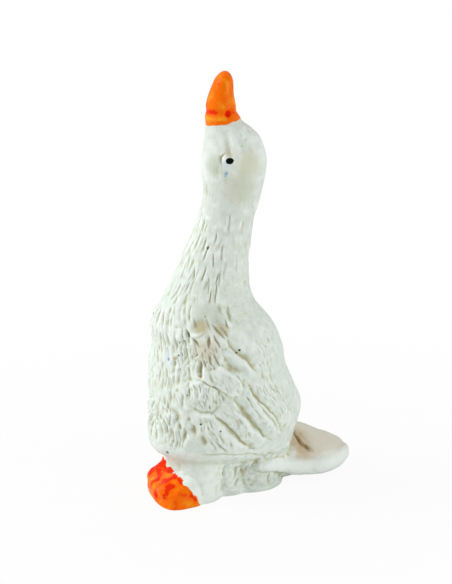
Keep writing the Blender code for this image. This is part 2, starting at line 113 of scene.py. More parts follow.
@dataclass(frozen=True)
class Channel:
    """A carved line: its places, its half width, its depth, and the half width of its gentle side, if any."""

    places: tuple[tuple[float, float], ...]
    half_width: float
    depth: float
    gentle: float = 0.0


def eased(low: float, high: float, value: np.ndarray) -> np.ndarray:
    """0 below low, 1 above high, and 3t^2 - 2t^3 between them.

    Args:
        low: Where the change begins.
        high: Where the change ends.
        value: What is compared with them.

    Returns:
        The share of the change at each value.
    """
    t = np.clip((value - low) / (high - low), 0.0, 1.0)
    return t * t * (3.0 - 2.0 * t)


def bell(distance: np.ndarray, half_width: float) -> np.ndarray:
    """exp(-(distance / half_width)^2), the round profile of every groove and mound.

    Args:
        distance: Distance from the middle of the profile.
        half_width: Distance at which the profile has fallen to 1/e.

    Returns:
        The profile, 1 in the middle.
    """
    return np.exp(-((distance / half_width) ** 2))


def past(limit: float, value: np.ndarray) -> np.ndarray:
    """0 below a limit and 1 above it, eased over SOFTNESS to each side."""
    return eased(limit - SOFTNESS, limit + SOFTNESS, value)


def cubic_through(stations: list[float], sizes: list[float], at: np.ndarray) -> np.ndarray:
    """A cubic Hermite curve through sizes at rising stations, with the slopes of their neighbours.

    Args:
        stations: Where the sizes are given, rising.
        sizes: The size at each station.
        at: Where the curve is read.

    Returns:
        The size at each place.
    """
    x = np.asarray(stations, float)
    y = np.asarray(sizes, float)
    slope = np.gradient(y, x)
    cell = np.clip(np.searchsorted(x, at) - 1, 0, len(x) - 2)
    span = x[cell + 1] - x[cell]
    t = (at - x[cell]) / span
    start = (2 * t**3 - 3 * t**2 + 1) * y[cell] + (t**3 - 2 * t**2 + t) * span * slope[cell]
    end = (3 * t**2 - 2 * t**3) * y[cell + 1] + (t**3 - t**2) * span * slope[cell + 1]
    return start + end


def turned(points: np.ndarray, angle: np.ndarray | float) -> np.ndarray:
    """The points turned about the upright axis: x' = x cos a - y sin a, y' = x sin a + y cos a.

    Args:
        points: Points, with X, Y and Z last.
        angle: The angle of each point, in radians.

    Returns:
        The turned points.
    """
    x = points[..., 0] * np.cos(angle) - points[..., 1] * np.sin(angle)
    y = points[..., 0] * np.sin(angle) + points[..., 1] * np.cos(angle)
    return np.stack([x, y, points[..., 2]], axis=-1)


def rounded_wave(wave: np.ndarray, corner: float | np.ndarray) -> np.ndarray:
    """sign(w) |w|^corner, which squares a circle's sine or cosine where corner is below 1."""
    return np.sign(wave) * np.abs(wave) ** corner


def along_line(places: np.ndarray, start: np.ndarray, end: np.ndarray) -> tuple[np.ndarray, np.ndarray]:
    """How far places on a chart are from a line between two places.

    The share along the line is (p - a).(b - a) / |b - a|^2, held between 0 and 1.

    Args:
        places: Places on a chart, two numbers each.
        start: One end of the line.
        end: The other end.

    Returns:
        The distance of each place, and its share along the line.
    """
    line = np.asarray(end, float) - np.asarray(start, float)
    share = np.clip((places - start) @ line / (line @ line), 0.0, 1.0)
    gap = places - start - share[:, None] * line
    return np.hypot(gap[:, 0], gap[:, 1]), share


def lumps(points: np.ndarray, cell: float, seed: int) -> np.ndarray:
    """Smooth value noise: random corners of a lattice of cells, blended with 3t^2 - 2t^3.

    Args:
        points: Points in millimetres.
        cell: Size of a lattice cell in millimetres.
        seed: Chooses the lattice.

    Returns:
        Noise between -1 and 1 at each point.
    """
    table = np.random.default_rng(seed).uniform(-1.0, 1.0, (LATTICE, LATTICE, LATTICE))
    place = points / cell + LATTICE_SHIFT
    whole = np.floor(place).astype(int)
    t = place - whole
    t = t * t * (3.0 - 2.0 * t)
    total = np.zeros(len(points))
    for corner in range(8):
        step = np.array([corner & 1, corner >> 1 & 1, corner >> 2 & 1])
        weight = np.prod(np.where(step, t, 1.0 - t), axis=1)
        x, y, z = ((whole + step) % LATTICE).T
        total += weight * table[x, y, z]
    return total


@dataclass(frozen=True)
class Noise:
    """Value noise of its own: how far it reaches, the size of its lumps in millimetres, and its seed."""

    reach: float
    cell: float
    seed: int

    def at(self, points: np.ndarray) -> np.ndarray:
        """The noise at each point, reach times the lumps."""
        return self.reach * lumps(points, self.cell, self.seed)


SWAY_ROUND = (Noise(0.34, 2.3, 31), Noise(0.13, 0.9, 32))
SWAY_UP = (Noise(0.34, 2.3, 41), Noise(0.13, 0.9, 42))


def wavering(points: np.ndarray, sway: tuple[Noise, Noise]) -> np.ndarray:
    """The Y and Z of points, each shaken by a noise, so that lines carved there waver as a hand's do."""
    return points[:, 1:] + np.stack([noise.at(points) for noise in sway], axis=-1)


def mound(points: np.ndarray, middle: list[float], radius: float) -> np.ndarray:
    """A round bell of some radius about a place."""
    return bell(np.linalg.norm(points - middle, axis=1), radius)


def closed_shell(rings: np.ndarray) -> tuple[np.ndarray, np.ndarray]:
    """A grid of rings closed by a fan at each end.

    Args:
        rings: Points as ring, place round the ring, and X, Y, Z.

    Returns:
        The points, and the triangles that join them, facing out for rings that rise.
    """
    count, around = rings.shape[:2]
    points = np.concatenate([rings.reshape(-1, 3), rings[[0, -1]].mean(axis=1)])
    index = np.arange(count * around).reshape(count, around)
    beside = np.roll(index, -1, axis=1)
    lower = np.stack([index[:-1], beside[:-1], beside[1:]], axis=-1).reshape(-1, 3)
    upper = np.stack([index[:-1], beside[1:], index[1:]], axis=-1).reshape(-1, 3)
    first = np.stack([beside[0], index[0], np.full(around, count * around)], axis=-1)
    last = np.stack([index[-1], beside[-1], np.full(around, count * around + 1)], axis=-1)
    return points, np.concatenate([lower, upper, first, last])


@dataclass(frozen=True)
class LevelLoft:
    """An upright closed form through level ovals."""

    sections: tuple[Section, ...]
    aside: float = 0.0
    slant: float = 0.0
    corner: float = 1.0
    rings_up: int = 40
    around: int = 96

    def sizes_at(self, heights: np.ndarray) -> tuple[np.ndarray, np.ndarray, np.ndarray]:
        """Front reach, back reach and half width at any heights.

        Args:
            heights: Heights in millimetres.

        Returns:
            The three sizes at each height.
        """
        stations = [section.height for section in self.sections]
        held = np.clip(heights, stations[0], stations[-1])
        front = cubic_through(stations, [section.front for section in self.sections], held)
        back = cubic_through(stations, [section.back for section in self.sections], held)
        half_width = cubic_through(stations, [section.half_width for section in self.sections], held)
        return front, back, half_width

    def rings(self, heights: np.ndarray, shrink: np.ndarray) -> np.ndarray:
        """Ovals x = w cos a, y = m + l sin a - slant x at the heights, drawn in by their shrink.

        Args:
            heights: Height of each ring.
            shrink: Share of its full size that each ring has.

        Returns:
            The points as ring, place round the ring, and X, Y, Z.
        """
        front, back, half_width = self.sizes_at(heights)
        angles = np.linspace(0.0, 2 * np.pi, self.around, endpoint=False)
        across = rounded_wave(np.cos(angles), self.corner)
        along = rounded_wave(np.sin(angles), self.corner)
        x = self.aside + (half_width * shrink)[:, None] * across
        y = ((back - front) / 2)[:, None] + ((front + back) / 2 * shrink)[:, None] * along - self.slant * x
        z = np.repeat(heights[:, None], self.around, axis=1)
        return np.stack([x, y, z], axis=-1)

    def shell(self) -> tuple[np.ndarray, np.ndarray]:
        """The points and triangles of the whole form."""
        heights = np.linspace(self.sections[0].height, self.sections[-1].height, self.rings_up)
        return closed_shell(self.rings(heights, np.ones_like(heights)))


@dataclass(frozen=True)
class Trunk(LevelLoft):
    """The trunk, neck, head and bill, round at the belly and at the tip of the bill."""

    tip: float = 100.0
    belly: float = 8.0
    belly_roundness: float = 2.4
    tip_rounding: float = 3.1
    tip_roundness: float = 3.0
    forehead: tuple[float, float] = (84.0, 91.2)
    forehead_rings: int = 24
    head_turn: float = math.radians(-25)
    turn_from: float = 56.0
    turn_to: float = 76.0
    rings_up: int = 140

    def turn_at(self, heights: np.ndarray) -> np.ndarray:
        """How far the neck and head are turned about the upright axis, in radians, at any heights."""
        return self.head_turn * eased(self.turn_from, self.turn_to, heights)

    def shell(self) -> tuple[np.ndarray, np.ndarray]:
        """Rings close together at both ends, drawn in by sqrt(1 - t^n) there and turned with the head.

        Returns:
            The points and triangles.
        """
        share = (1 - np.cos(np.linspace(0.0, np.pi, self.rings_up))) / 2
        heights = self.belly + (self.tip - self.belly) * share
        heights = np.sort(np.concatenate([heights[1:-1], np.linspace(*self.forehead, self.forehead_rings)]))
        first = self.sections[0].height
        low = np.clip((first - heights) / (first - self.belly), 0.0, 1.0)
        high = np.clip((heights - self.tip + self.tip_rounding) / self.tip_rounding, 0.0, 1.0)
        shrink = np.sqrt(1.0 - low**self.belly_roundness) * np.sqrt(1.0 - high**self.tip_roundness)
        return closed_shell(turned(self.rings(heights, shrink), self.turn_at(heights)[:, None]))


def read_between(rows: tuple[object, ...], name: str, backs: np.ndarray) -> np.ndarray:
    """One size of rows that are given from front to back, such as half_width, at any place between them.

    Args:
        rows: The rows, each with its own back.
        name: The field that is read.
        backs: How far back each place is.

    Returns:
        The size there.
    """
    stations = [row.back for row in rows]
    held = np.clip(backs, stations[0], stations[-1])
    return cubic_through(stations, [getattr(row, name) for row in rows], held)


@dataclass(frozen=True)
class Tail:
    """The tail: a slab whose top slopes to both sides, and a round bolster along each of its edges."""

    cuts: tuple[TailCut, ...]
    bolster: tuple[BolsterRing, ...]
    edge: float = 6.3
    edge_share: float = 0.60
    inset: float = 1.3
    top_corner: float = 1.55
    under_corner: float = 0.8
    rings_back: int = 70
    around: int = 96

    def half_width(self, backs: np.ndarray) -> np.ndarray:
        """Half the tail's width at any place along it."""
        return read_between(self.cuts, "half_width", backs)

    def bolster_at(self, backs: np.ndarray) -> np.ndarray:
        """How far aside and how high the bolster's axis lies along the tail, and its radius there."""
        return np.stack([read_between(self.bolster, name, backs) for name in ("aside", "height", "radius")])

    def slab(self) -> tuple[np.ndarray, np.ndarray]:
        """Upright cuts x = w c^p, z = e + h s^p, with p above 1 over the edge's level and below 1 under it.

        Returns:
            The points and triangles.
        """
        backs = np.linspace(self.cuts[0].back, self.cuts[-1].back, self.rings_back)
        top, bottom = read_between(self.cuts, "top", backs), read_between(self.cuts, "bottom", backs)
        edge = np.minimum(self.edge, bottom + self.edge_share * (top - bottom))
        half_width = np.maximum(self.half_width(backs) - self.inset, self.half_width(backs) / 2)
        angles = np.linspace(0.0, 2 * np.pi, self.around, endpoint=False)
        corner = np.where(np.sin(angles) > 0.0, self.top_corner, self.under_corner)
        across, upright = rounded_wave(np.cos(angles), corner), rounded_wave(np.sin(angles), corner)
        reach = np.where(upright > 0.0, (top - edge)[:, None], (edge - bottom)[:, None])
        z = edge[:, None] + reach * upright
        y = np.repeat(backs[:, None], self.around, axis=1)
        return closed_shell(np.stack([half_width[:, None] * across, y, z], axis=-1)[:, ::-1])

    def roll(self, side: Side) -> tuple[np.ndarray, np.ndarray]:
        """The bolster on one side, rings x = a + r cos t, z = h + r sin t carried backwards.

        Args:
            side: Which side of the tail.

        Returns:
            The points and triangles.
        """
        backs = np.linspace(self.bolster[0].back, self.bolster[-1].back, self.rings_back)
        aside, height, radius = self.bolster_at(backs)
        angles = np.linspace(0.0, 2 * np.pi, self.around // 2, endpoint=False)
        x = side.value * aside[:, None] + radius[:, None] * np.cos(angles)
        z = height[:, None] + radius[:, None] * np.sin(angles)
        y = np.repeat(backs[:, None], self.around // 2, axis=1)
        return closed_shell(np.stack([x, y, z], axis=-1)[:, ::-1])


@dataclass
class Skin:
    """The fused skin as arrays, with the charts that the carving is laid out on.

    The chart holds each point as its way round its side of the trunk and its height, and wavering is the
    same chart shaken a little. The head holds the points with the head's turn undone.
    """

    mesh: bpy.types.Mesh
    trunk: Trunk
    chart_radius: float
    points: np.ndarray = field(init=False)
    normals: np.ndarray = field(init=False)
    side: np.ndarray = field(init=False)
    chart: np.ndarray = field(init=False)
    wavering: np.ndarray = field(init=False)
    head: np.ndarray = field(init=False)

    def __post_init__(self) -> None:
        """Read the mesh and place its points on the charts."""
        count = len(self.mesh.vertices)
        flat = np.empty(count * 3)
        self.mesh.vertices.foreach_get("co", flat)
        self.points = flat.reshape(-1, 3) / MM
        flat = np.empty(count * 3, np.float32)
        self.mesh.vertex_normals.foreach_get("vector", flat)
        self.normals = flat.reshape(-1, 3).astype(float)
        x, y, z = self.points.T
        front, back, half_width = self.trunk.sizes_at(z)
        angle = np.arctan2((y - (back - front) / 2) / ((front + back) / 2), np.abs(x) / half_width)
        self.side = np.where(x >= 0.0, Side.LEFT.value, Side.RIGHT.value)
        self.chart = np.stack([angle * self.chart_radius, z], axis=-1)
        sway = [broad.at(self.points) + fine.at(self.points) for broad, fine in (SWAY_ROUND, SWAY_UP)]
        self.wavering = self.chart + np.stack(sway, axis=-1)
        self.head = turned(self.points, -self.trunk.turn_at(z))

    def charted(self, places: tuple[tuple[float, float], ...]) -> np.ndarray:
        """Places given as degrees round the trunk and a height, on the chart of its side."""
        return np.array([(math.radians(angle) * self.chart_radius, height) for angle, height in places])

    def moved(self, relief: np.ndarray) -> None:
        """Move every point along its normal, p' = p + n r, and write the mesh.

        Args:
            relief: How far each point moves out, in millimetres.
        """
        self.points = self.points + self.normals * relief[:, None]
        self.mesh.vertices.foreach_set("co", (self.points * MM).ravel())
        self.mesh.update()


def line_cut(
    places: np.ndarray, start: np.ndarray, end: np.ndarray, half_width: float, depth: float
) -> np.ndarray:
    """A groove d(s) exp(-(r/w)^2) along a line, where d(s) is depth sqrt(sin(pi s)) and w narrows to its end.

    Args:
        places: Places on a chart.
        start: One end of the groove.
        end: The other end.
        half_width: The groove's half width.
        depth: Its depth in the middle.

    Returns:
        How deep the groove is at each place.
    """
    distance, share = along_line(places, start, end)
    fade = np.sqrt(np.sin(np.pi * np.clip(share, 0.02, 0.98)))
    return depth * fade * bell(distance, half_width * (1.25 - 0.6 * share))


def channel_cut(places: np.ndarray, channel: Channel, route: np.ndarray | None = None) -> np.ndarray:
    """A line d(s) exp(-(r/w)^2) along a route, narrower and shallower towards both ends.

    Its half width w is its gentle one to the left of its way, where it has one, and its own to the right.
    A channel with a gentle side has a raised lip along its other side, LIP_OFFSET half widths off.

    Args:
        places: Places on a chart.
        channel: Its places, its widths and its depth.
        route: The places that it runs through on that chart, where they aren't its own.

    Returns:
        How deep the channel is at each place.
    """
    route = np.array(channel.places) if route is None else route
    steps = np.hypot(*np.diff(route, axis=0).T)
    starts = np.concatenate([[0.0], np.cumsum(steps)])
    nearest = np.full(len(places), np.inf)
    cut = np.zeros(len(places))
    for number, step in enumerate(steps):
        way = route[number + 1] - route[number]
        distance, share = along_line(places, route[number], route[number + 1])
        whole = (starts[number] + share * step) / starts[-1]
        fade = np.clip(np.sin(np.pi * (0.06 + 0.88 * whole)), 0.0, 1.0) ** 0.6
        offset = places - route[number]
        left = way[0] * offset[:, 1] - way[1] * offset[:, 0] > 0.0
        half_width = np.where(left, channel.gentle or channel.half_width, channel.half_width)
        found = bell(distance, half_width * (0.5 + 0.5 * fade))
        if channel.gentle:
            off = distance - LIP_OFFSET * channel.half_width
            found -= LIP * ~left * bell(off, LIP_WIDTH * channel.half_width)
        found *= channel.depth * fade
        cut = np.where(distance < nearest, found, cut)
        nearest = np.minimum(nearest, distance)
    return cut


def deepest(places: np.ndarray, channels: tuple[Channel, ...]) -> np.ndarray:
    """How deep the deepest of some channels is at each place on their chart."""
    return np.max([np.zeros(len(places)), *(channel_cut(places, channel) for channel in channels)], axis=0)


@dataclass
class StrokeBed:
    """The depth that strokes have cut so far, with the points in order of height, so a stroke reads few."""

    places: np.ndarray
    side: np.ndarray
    order: np.ndarray = field(init=False)
    heights: np.ndarray = field(init=False)
    cut: np.ndarray = field(init=False)

    def __post_init__(self) -> None:
        """Put the points in order of height."""
        self.order = np.argsort(self.places[:, 1], kind="stable")
        self.heights = self.places[self.order, 1]
        self.cut = np.zeros(len(self.places))

    def stroke(
        self, side: Side, middle: np.ndarray, half: np.ndarray, half_width: float, depth: float
    ) -> None:
        """Cut one stroke on one side of the goose.

        Args:
            side: The side that it is on.
            middle: The stroke's middle on the chart.
            half: From its middle to one end.
            half_width: Its half width.
            depth: Its depth.
        """
        reach = abs(half[1]) + 2.5 * half_width
        first, last = np.searchsorted(self.heights, [middle[1] - reach, middle[1] + reach])
        near = self.order[first:last]
        near = near[self.side[near] == side.value]
        found = line_cut(self.places[near], middle - half, middle + half, half_width, depth)
        self.cut[near] = np.maximum(self.cut[near], found)


@dataclass(frozen=True)
class Hatching:
    """A patch of fine strokes: its middle and half sizes, and their pitch, lean, spread, length and depth."""

    middle: tuple[float, float]
    half_size: tuple[float, float]
    pitch: float
    lean: float
    spread: float
    length: float
    depth: float


class Carving:
    """Something that is carved into the skin."""

    def relief(self, skin: Skin) -> np.ndarray:
        """How far each point moves out along its normal, negative where it is cut.

        Args:
            skin: The skin that is carved.

        Returns:
            Millimetres at each point.
        """
        raise NotImplementedError


@dataclass(frozen=True)
class WingCarving(Carving):
    """The raised wing on each side, with its feathers, ridges, channels and hatched patches."""

    outline: tuple[tuple[float, float], ...]
    feathers: tuple[Feather, ...]
    ridges: tuple[Channel, ...]
    channels: tuple[Channel, ...]
    hatchings: tuple[Hatching, ...]
    rise: float = 0.75
    edge: float = 4.4
    tilt: float = 0.35
    lowest: float = 10.0
    backmost: float = 20.2
    blade_edge: float = 0.55
    tip_fall: float = 0.65
    barb_half_width: float = 0.28
    barb_depth: float = 0.20
    hatch_half_width: float = 0.24
    hatch_row: float = 0.62
    seed: int = 11

    def inside(self, skin: Skin) -> np.ndarray:
        """How far inside the wing's outline each point lies, negative outside, by the even-odd rule.

        Args:
            skin: The skin that is carved.

        Returns:
            The distance from the outline on the chart.
        """
        places = skin.wavering
        outline = skin.charted(self.outline)
        nearest = np.full(len(places), np.inf)
        within = np.zeros(len(places), bool)
        for start, end in zip(outline, np.roll(outline, -1, axis=0)):
            nearest = np.minimum(nearest, along_line(places, start, end)[0])
            crosses = (start[1] > places[:, 1]) != (end[1] > places[:, 1])
            rise = end[1] - start[1] or 1.0
            across = start[0] + (places[:, 1] - start[1]) * (end[0] - start[0]) / rise
            within ^= crosses & (places[:, 0] < across)
        return np.where(within, nearest, -nearest)

    def feather_height(self, skin: Skin, feather: Feather, rng: np.random.Generator) -> np.ndarray:
        """rise e(s) f(r) (1 + tilt u), less its barbs, with r across the blade and round its tip.

        f is flat over the blade and round at its edge. u runs from -1 to 1 across the blade, so that its
        upper edge stands out most. The rise fades towards the root and towards the tip.

        Args:
            skin: The skin that is carved.
            feather: The feather.
            rng: Where the barbs' places come from.

        Returns:
            How far the feather stands out at each point.
        """
        root, tip = skin.charted((feather.root, feather.tip))
        length = np.hypot(*(tip - root))
        way = (tip - root) / length
        across_way = np.array([-way[1], way[0]])
        along = (skin.wavering - root) @ way
        across = (skin.wavering - root) @ across_way / (feather.width / 2)
        beyond = np.maximum(along - length + feather.width / 2, 0.0) / (feather.width / 2)
        blade = eased(0.0, self.blade_edge, 1.0 - across**2 - beyond**2)
        lift = eased(-0.1 * length, 0.40 * length, along)
        lift *= 1.0 - self.tip_fall * eased(0.55 * length, length, along)
        height = feather.rise * lift * blade * (1.0 + self.tilt * np.clip(across, -1.0, 1.0))
        on_blade = eased(0.02, 0.20, blade)
        for number in range(feather.barbs):
            place = (number + 0.5) / feather.barbs * 2 - 1 + rng.uniform(-0.16, 0.16)
            off = across_way * place * feather.width
            start = root + way * length * rng.uniform(0.62, 0.94) + off * 0.44
            stop = root + way * length * rng.uniform(0.05, 0.45) + off * 0.34
            depth = self.barb_depth * rng.uniform(0.5, 1.3)
            height -= line_cut(skin.wavering, start, stop, self.barb_half_width, depth) * on_blade
        return height

    def hatched(self, skin: Skin, bed: StrokeBed, rng: np.random.Generator) -> None:
        """Cut the hatched patches, each of strokes in shaken rows over an oval."""
        for patch in self.hatchings:
            middle = skin.charted((patch.middle,))[0]
            half_across, half_up = patch.half_size
            for side in Side:
                for up in np.arange(-half_up, half_up, patch.length * self.hatch_row):
                    for across in np.arange(-half_across, half_across, patch.pitch):
                        shake = rng.uniform(-0.5, 0.5, 2) * (patch.pitch * 0.8, patch.length * 0.6)
                        away = np.array([across, up]) + shake
                        lean = math.radians(patch.lean + rng.uniform(-patch.spread, patch.spread))
                        half = patch.length / 2 * rng.uniform(0.6, 1.3)
                        half = half * np.array([math.sin(lean), math.cos(lean)])
                        depth = patch.depth * rng.uniform(0.3, 1.4)
                        if np.hypot(*(away / patch.half_size)) < 1.0:
                            width = self.hatch_half_width * rng.uniform(0.8, 1.4)
                            bed.stroke(side, middle + away, half, width, depth)

    def relief(self, skin: Skin) -> np.ndarray:
        """The plateau of the wing with its feathers and ridges, less its channels and hatching."""
        rng = np.random.default_rng(self.seed)
        total = self.rise * eased(-self.edge / 2, self.edge / 2, self.inside(skin))
        raised = np.zeros(len(skin.points))
        for feather in self.feathers:
            raised = np.maximum(raised, self.feather_height(skin, feather, rng))
        for ridge in self.ridges:
            raised = np.maximum(raised, channel_cut(skin.wavering, ridge, skin.charted(ridge.places)))
        bed = StrokeBed(skin.wavering, skin.side)
        self.hatched(skin, bed, rng)
        cuts = bed.cut
        for channel in self.channels:
            found = channel_cut(skin.wavering, channel, skin.charted(channel.places))
            cuts = np.where(found > 0.0, np.maximum(cuts, found), cuts + found)
        on_trunk = 1.0 - past(self.backmost, skin.points[:, 1])
        on_trunk *= past(self.lowest, skin.points[:, 2])
        return (total + raised - cuts) * on_trunk


@dataclass(frozen=True)
class PlumageStrokes(Carving):
    """The short strokes down the neck and breast: a few broad ones, and rows of fine ones."""

    broad: int = 90
    broad_length: float = 3.4
    broad_half_width: float = 0.46
    broad_depth: float = 0.46
    lowest: float = 17.0
    highest: float = 59.0
    lean: float = 12.0
    front: float = -88.0
    back: float = -2.0
    breast_back: float = -52.0
    breast_top: float = 45.0
    seed: int = 7
    fine_seed: int = 23
    row_pitch: float = 2.1
    stroke_pitch: float = 1.15
    fine_depth: float = 0.30
    fine_lowest: float = 15.5
    fine_highest: float = 73.0
    fine_lean: float = 14.0
    fine_lengths: tuple[float, float] = (1.1, 3.2)
    fine_half_widths: tuple[float, float] = (0.22, 0.50)
    longer_above: float = 50.0
    head_from: float = 66.0
    head_share: float = 0.10
    bands: tuple[tuple[float, float, float], ...] = ((57.0, 0.05, 0.32), (44.0, 0.08, 0.56))
    clear_below: tuple[float, float] = (13.0, 15.0)
    clear_behind: tuple[float, float] = (19.0, 21.3)

    def density(self, angle: float, height: float) -> float:
        """The share of strokes that are cut there: most on the breast and neck foot, few behind.

        Each band has the height that it begins at, its share anywhere, and what it adds in front.

        Args:
            angle: Degrees round the trunk.
            height: Height.

        Returns:
            A share between 0 and 1.
        """
        forward = 1.0 - float(eased(-50.0, 12.0, np.array(angle)))
        if height > self.head_from:
            return self.head_share * forward if angle < -40.0 else 0.0
        for above, anywhere, in_front in self.bands:
            if height > above:
                return anywhere + in_front * forward
        if angle > self.breast_back:
            return 0.0 if angle < 20.0 else 0.06
        return 0.24 if angle < -76.0 else 0.38

    def relief(self, skin: Skin) -> np.ndarray:
        """All the strokes: the broad ones at random places, and the fine ones in jittered rows."""
        bed = StrokeBed(skin.chart, skin.side)
        rng = np.random.default_rng(self.seed)
        for number in range(self.broad):
            height = rng.uniform(self.lowest, self.highest)
            back = self.breast_back if height < self.breast_top else self.back
            angle = rng.uniform(self.front, back)
            lean = math.radians(rng.uniform(-self.lean, self.lean))
            half = self.broad_length / 2 * np.array([math.sin(lean), math.cos(lean)])
            middle = skin.charted(((angle, height),))[0] - half
            side = Side.RIGHT if number % 2 else Side.LEFT
            bed.stroke(side, middle, half, self.broad_half_width, self.broad_depth)
        rng = np.random.default_rng(self.fine_seed)
        for height in np.arange(self.fine_lowest, self.fine_highest, self.row_pitch):
            front, back, half_width = (float(size[0]) for size in skin.trunk.sizes_at(np.array([height])))
            radius = (half_width + (front + back) / 2) / 2
            stretch = skin.chart_radius / radius
            step = math.degrees(self.stroke_pitch / radius)
            for side in Side:
                for angle in np.arange(-90.0 + step / 2, 90.0, step):
                    place = angle + rng.uniform(-0.35, 0.35) * step
                    up = height + rng.uniform(-0.5, 0.5) * self.row_pitch
                    keep = rng.random() < self.density(place, up)
                    length = rng.uniform(*self.fine_lengths) + (1.0 if up > self.longer_above else 0.0)
                    lean = math.radians(rng.uniform(-self.fine_lean, self.fine_lean))
                    width = rng.uniform(*self.fine_half_widths)
                    depth = self.fine_depth * rng.uniform(0.25, 1.5)
                    if not keep:
                        continue
                    half = length / 2 * np.array([math.sin(lean) * stretch, math.cos(lean)])
                    middle = skin.charted(((place, up),))[0]
                    bed.stroke(side, middle, half, width * math.sqrt(stretch), depth)
        clear = eased(*self.clear_below, skin.points[:, 2])
        clear *= 1.0 - eased(*self.clear_behind, skin.points[:, 1])
        return -bed.cut * clear


@dataclass(frozen=True)
class FaceCarving(Carving):
    """The eye in its valley, the brow behind it, the nostril and the groove round the bill."""

    valley: Channel = Channel(((0.5, 86.6), (0.8, 84.0), (0.9, 82.2), (0.9, 80.4), (0.5, 78.2)), 0.9, 0.36)
    ball: tuple[float, float] = (0.25, 80.4)
    ball_radius: float = 1.0
    ball_rise: float = 0.62
    crescent: Channel = Channel(((-0.15, 82.0), (-0.95, 81.1), (-0.95, 80.0), (-0.55, 79.2)), 0.30, 0.50)
    brow: Channel = Channel(
        ((0.9, 87.2), (1.7, 84.7), (2.4, 82.9), (2.85, 81.0), (2.6, 79.0), (2.1, 77.0)), 1.25, 0.55
    )
    nicks: tuple[Channel, ...] = (
        Channel(((3.6, 86.2), (3.7, 85.6)), 0.24, 0.10),
        Channel(((4.8, 85.3), (4.4, 84.4)), 0.26, 0.13),
        Channel(((5.3, 83.4), (6.2, 81.8)), 0.34, 0.13),
        Channel(((3.8, 84.0), (3.7, 83.4)), 0.22, 0.16),
        Channel(((-2.2, 86.6), (-1.6, 83.6)), 0.50, 0.12),
        Channel(((-1.6, 79.0), (-1.8, 76.6)), 0.50, 0.12),
        Channel(((0.6, 76.4), (0.0, 74.9)), 0.34, 0.08),
    )
    nostril: tuple[float, float] = (0.80, 90.6)
    nostril_radius: float = 0.62
    nostril_depth: float = 0.75
    collar: float = 90.9
    collar_half_width: float = 0.75
    collar_depth: float = 0.26
    rim: float = 89.3
    rim_half_width: float = 0.6
    rim_rise: float = 0.14
    jaw: float = 69.5
    from_middle: float = 2.5

    def relief(self, skin: Skin) -> np.ndarray:
        """Mounds and grooves on the chart of the head's own length and height, on both sides."""
        places = skin.head[:, 1:]
        height = skin.points[:, 2]
        beside = past(self.from_middle, np.abs(skin.head[:, 0])) * past(self.jaw, height)
        total = channel_cut(places, self.brow)
        for channel in (self.valley, self.crescent, *self.nicks):
            total -= channel_cut(places, channel)
        total += self.ball_rise * bell(np.hypot(*(places - self.ball).T), self.ball_radius)
        total -= self.nostril_depth * bell(np.hypot(*(places - self.nostril).T), self.nostril_radius)
        total *= beside
        total -= self.collar_depth * bell(height - self.collar, self.collar_half_width)
        total += self.rim_rise * bell(height - self.rim, self.rim_half_width)
        return total


@dataclass(frozen=True)
class TailCarving(Carving):
    """The creases that part the tail's sloped top from its bolsters, and those across its root."""

    from_middle: float = 4.2
    creases: tuple[Channel, ...] = (
        Channel(((3.5, 9.8), (9.0, 8.7), (14.0, 7.5), (19.0, 6.8), (24.0, 6.3)), 0.5, 0.24),
        Channel(((16.9, 13.4), (17.3, 11.8), (17.4, 10.4), (18.0, 9.1), (19.6, 7.7)), 0.38, 0.62, 0.80),
        Channel(((18.6, 12.0), (18.9, 10.6), (19.8, 9.4)), 0.40, 0.35),
        Channel(((15.6, 13.6), (15.6, 11.6), (16.2, 9.6)), 0.40, 0.40),
        Channel(((4.0, 5.6), (7.0, 5.2), (10.0, 4.0), (13.5, 3.0)), 0.45, 0.45),
    )
    dents: tuple[tuple[float, float, float, float], ...] = (
        (10.6, 25.6, 5.2, 0.8),
        (9.4, 27.6, 5.4, 0.6),
        (11.0, 18.6, 3.4, 0.8),
    )
    dent_depth: float = 0.22
    sway: tuple[Noise, Noise] = (Noise(0.35, 2.2, 51), Noise(0.35, 2.2, 52))

    def relief(self, skin: Skin) -> np.ndarray:
        """Creases laid out on the chart of Y and Z, and round dents on the bolsters."""
        cut = deepest(wavering(skin.points, self.sway), self.creases)
        flank = skin.points.copy()
        flank[:, 0] = np.abs(flank[:, 0])
        for *middle, radius in self.dents:
            cut = np.maximum(cut, self.dent_depth * mound(flank, middle, radius))
        return -cut * past(self.from_middle, flank[:, 0])


@dataclass(frozen=True)
class FootCarving(Carving):
    """The soft dents of the feet, thumbed rather than cut, on the two feet as one mass."""

    lowest: float = 0.8
    highest: float = 9.0
    foremost: float = 11.0
    unevenness: tuple[Noise, Noise] = (Noise(0.56, 3.1, 61), Noise(0.12, 1.1, 62))
    dents: tuple[tuple[float, float, float, float], ...] = (
        (-3.0, -18.6, 5.6, 1.3),
        (1.6, -19.8, 4.4, 1.2),
        (7.6, -17.0, 3.4, 1.1),
        (4.6, -20.4, 1.8, 1.0),
    )
    dent_depth: float = 0.30

    def relief(self, skin: Skin) -> np.ndarray:
        """Value noise 3.1 and 1.1 mm across, less a round dent at each place."""
        broad, fine = self.unevenness
        total = broad.at(skin.points) + fine.at(skin.points)
        for *middle, radius in self.dents:
            total -= self.dent_depth * mound(skin.points, middle, radius)
        low = 1.0 - past(self.highest, skin.points[:, 2])
        low *= eased(0.0, self.lowest, skin.points[:, 2])
        return total * low * eased(self.foremost, self.foremost + 2 * SOFTNESS, -skin.points[:, 1])


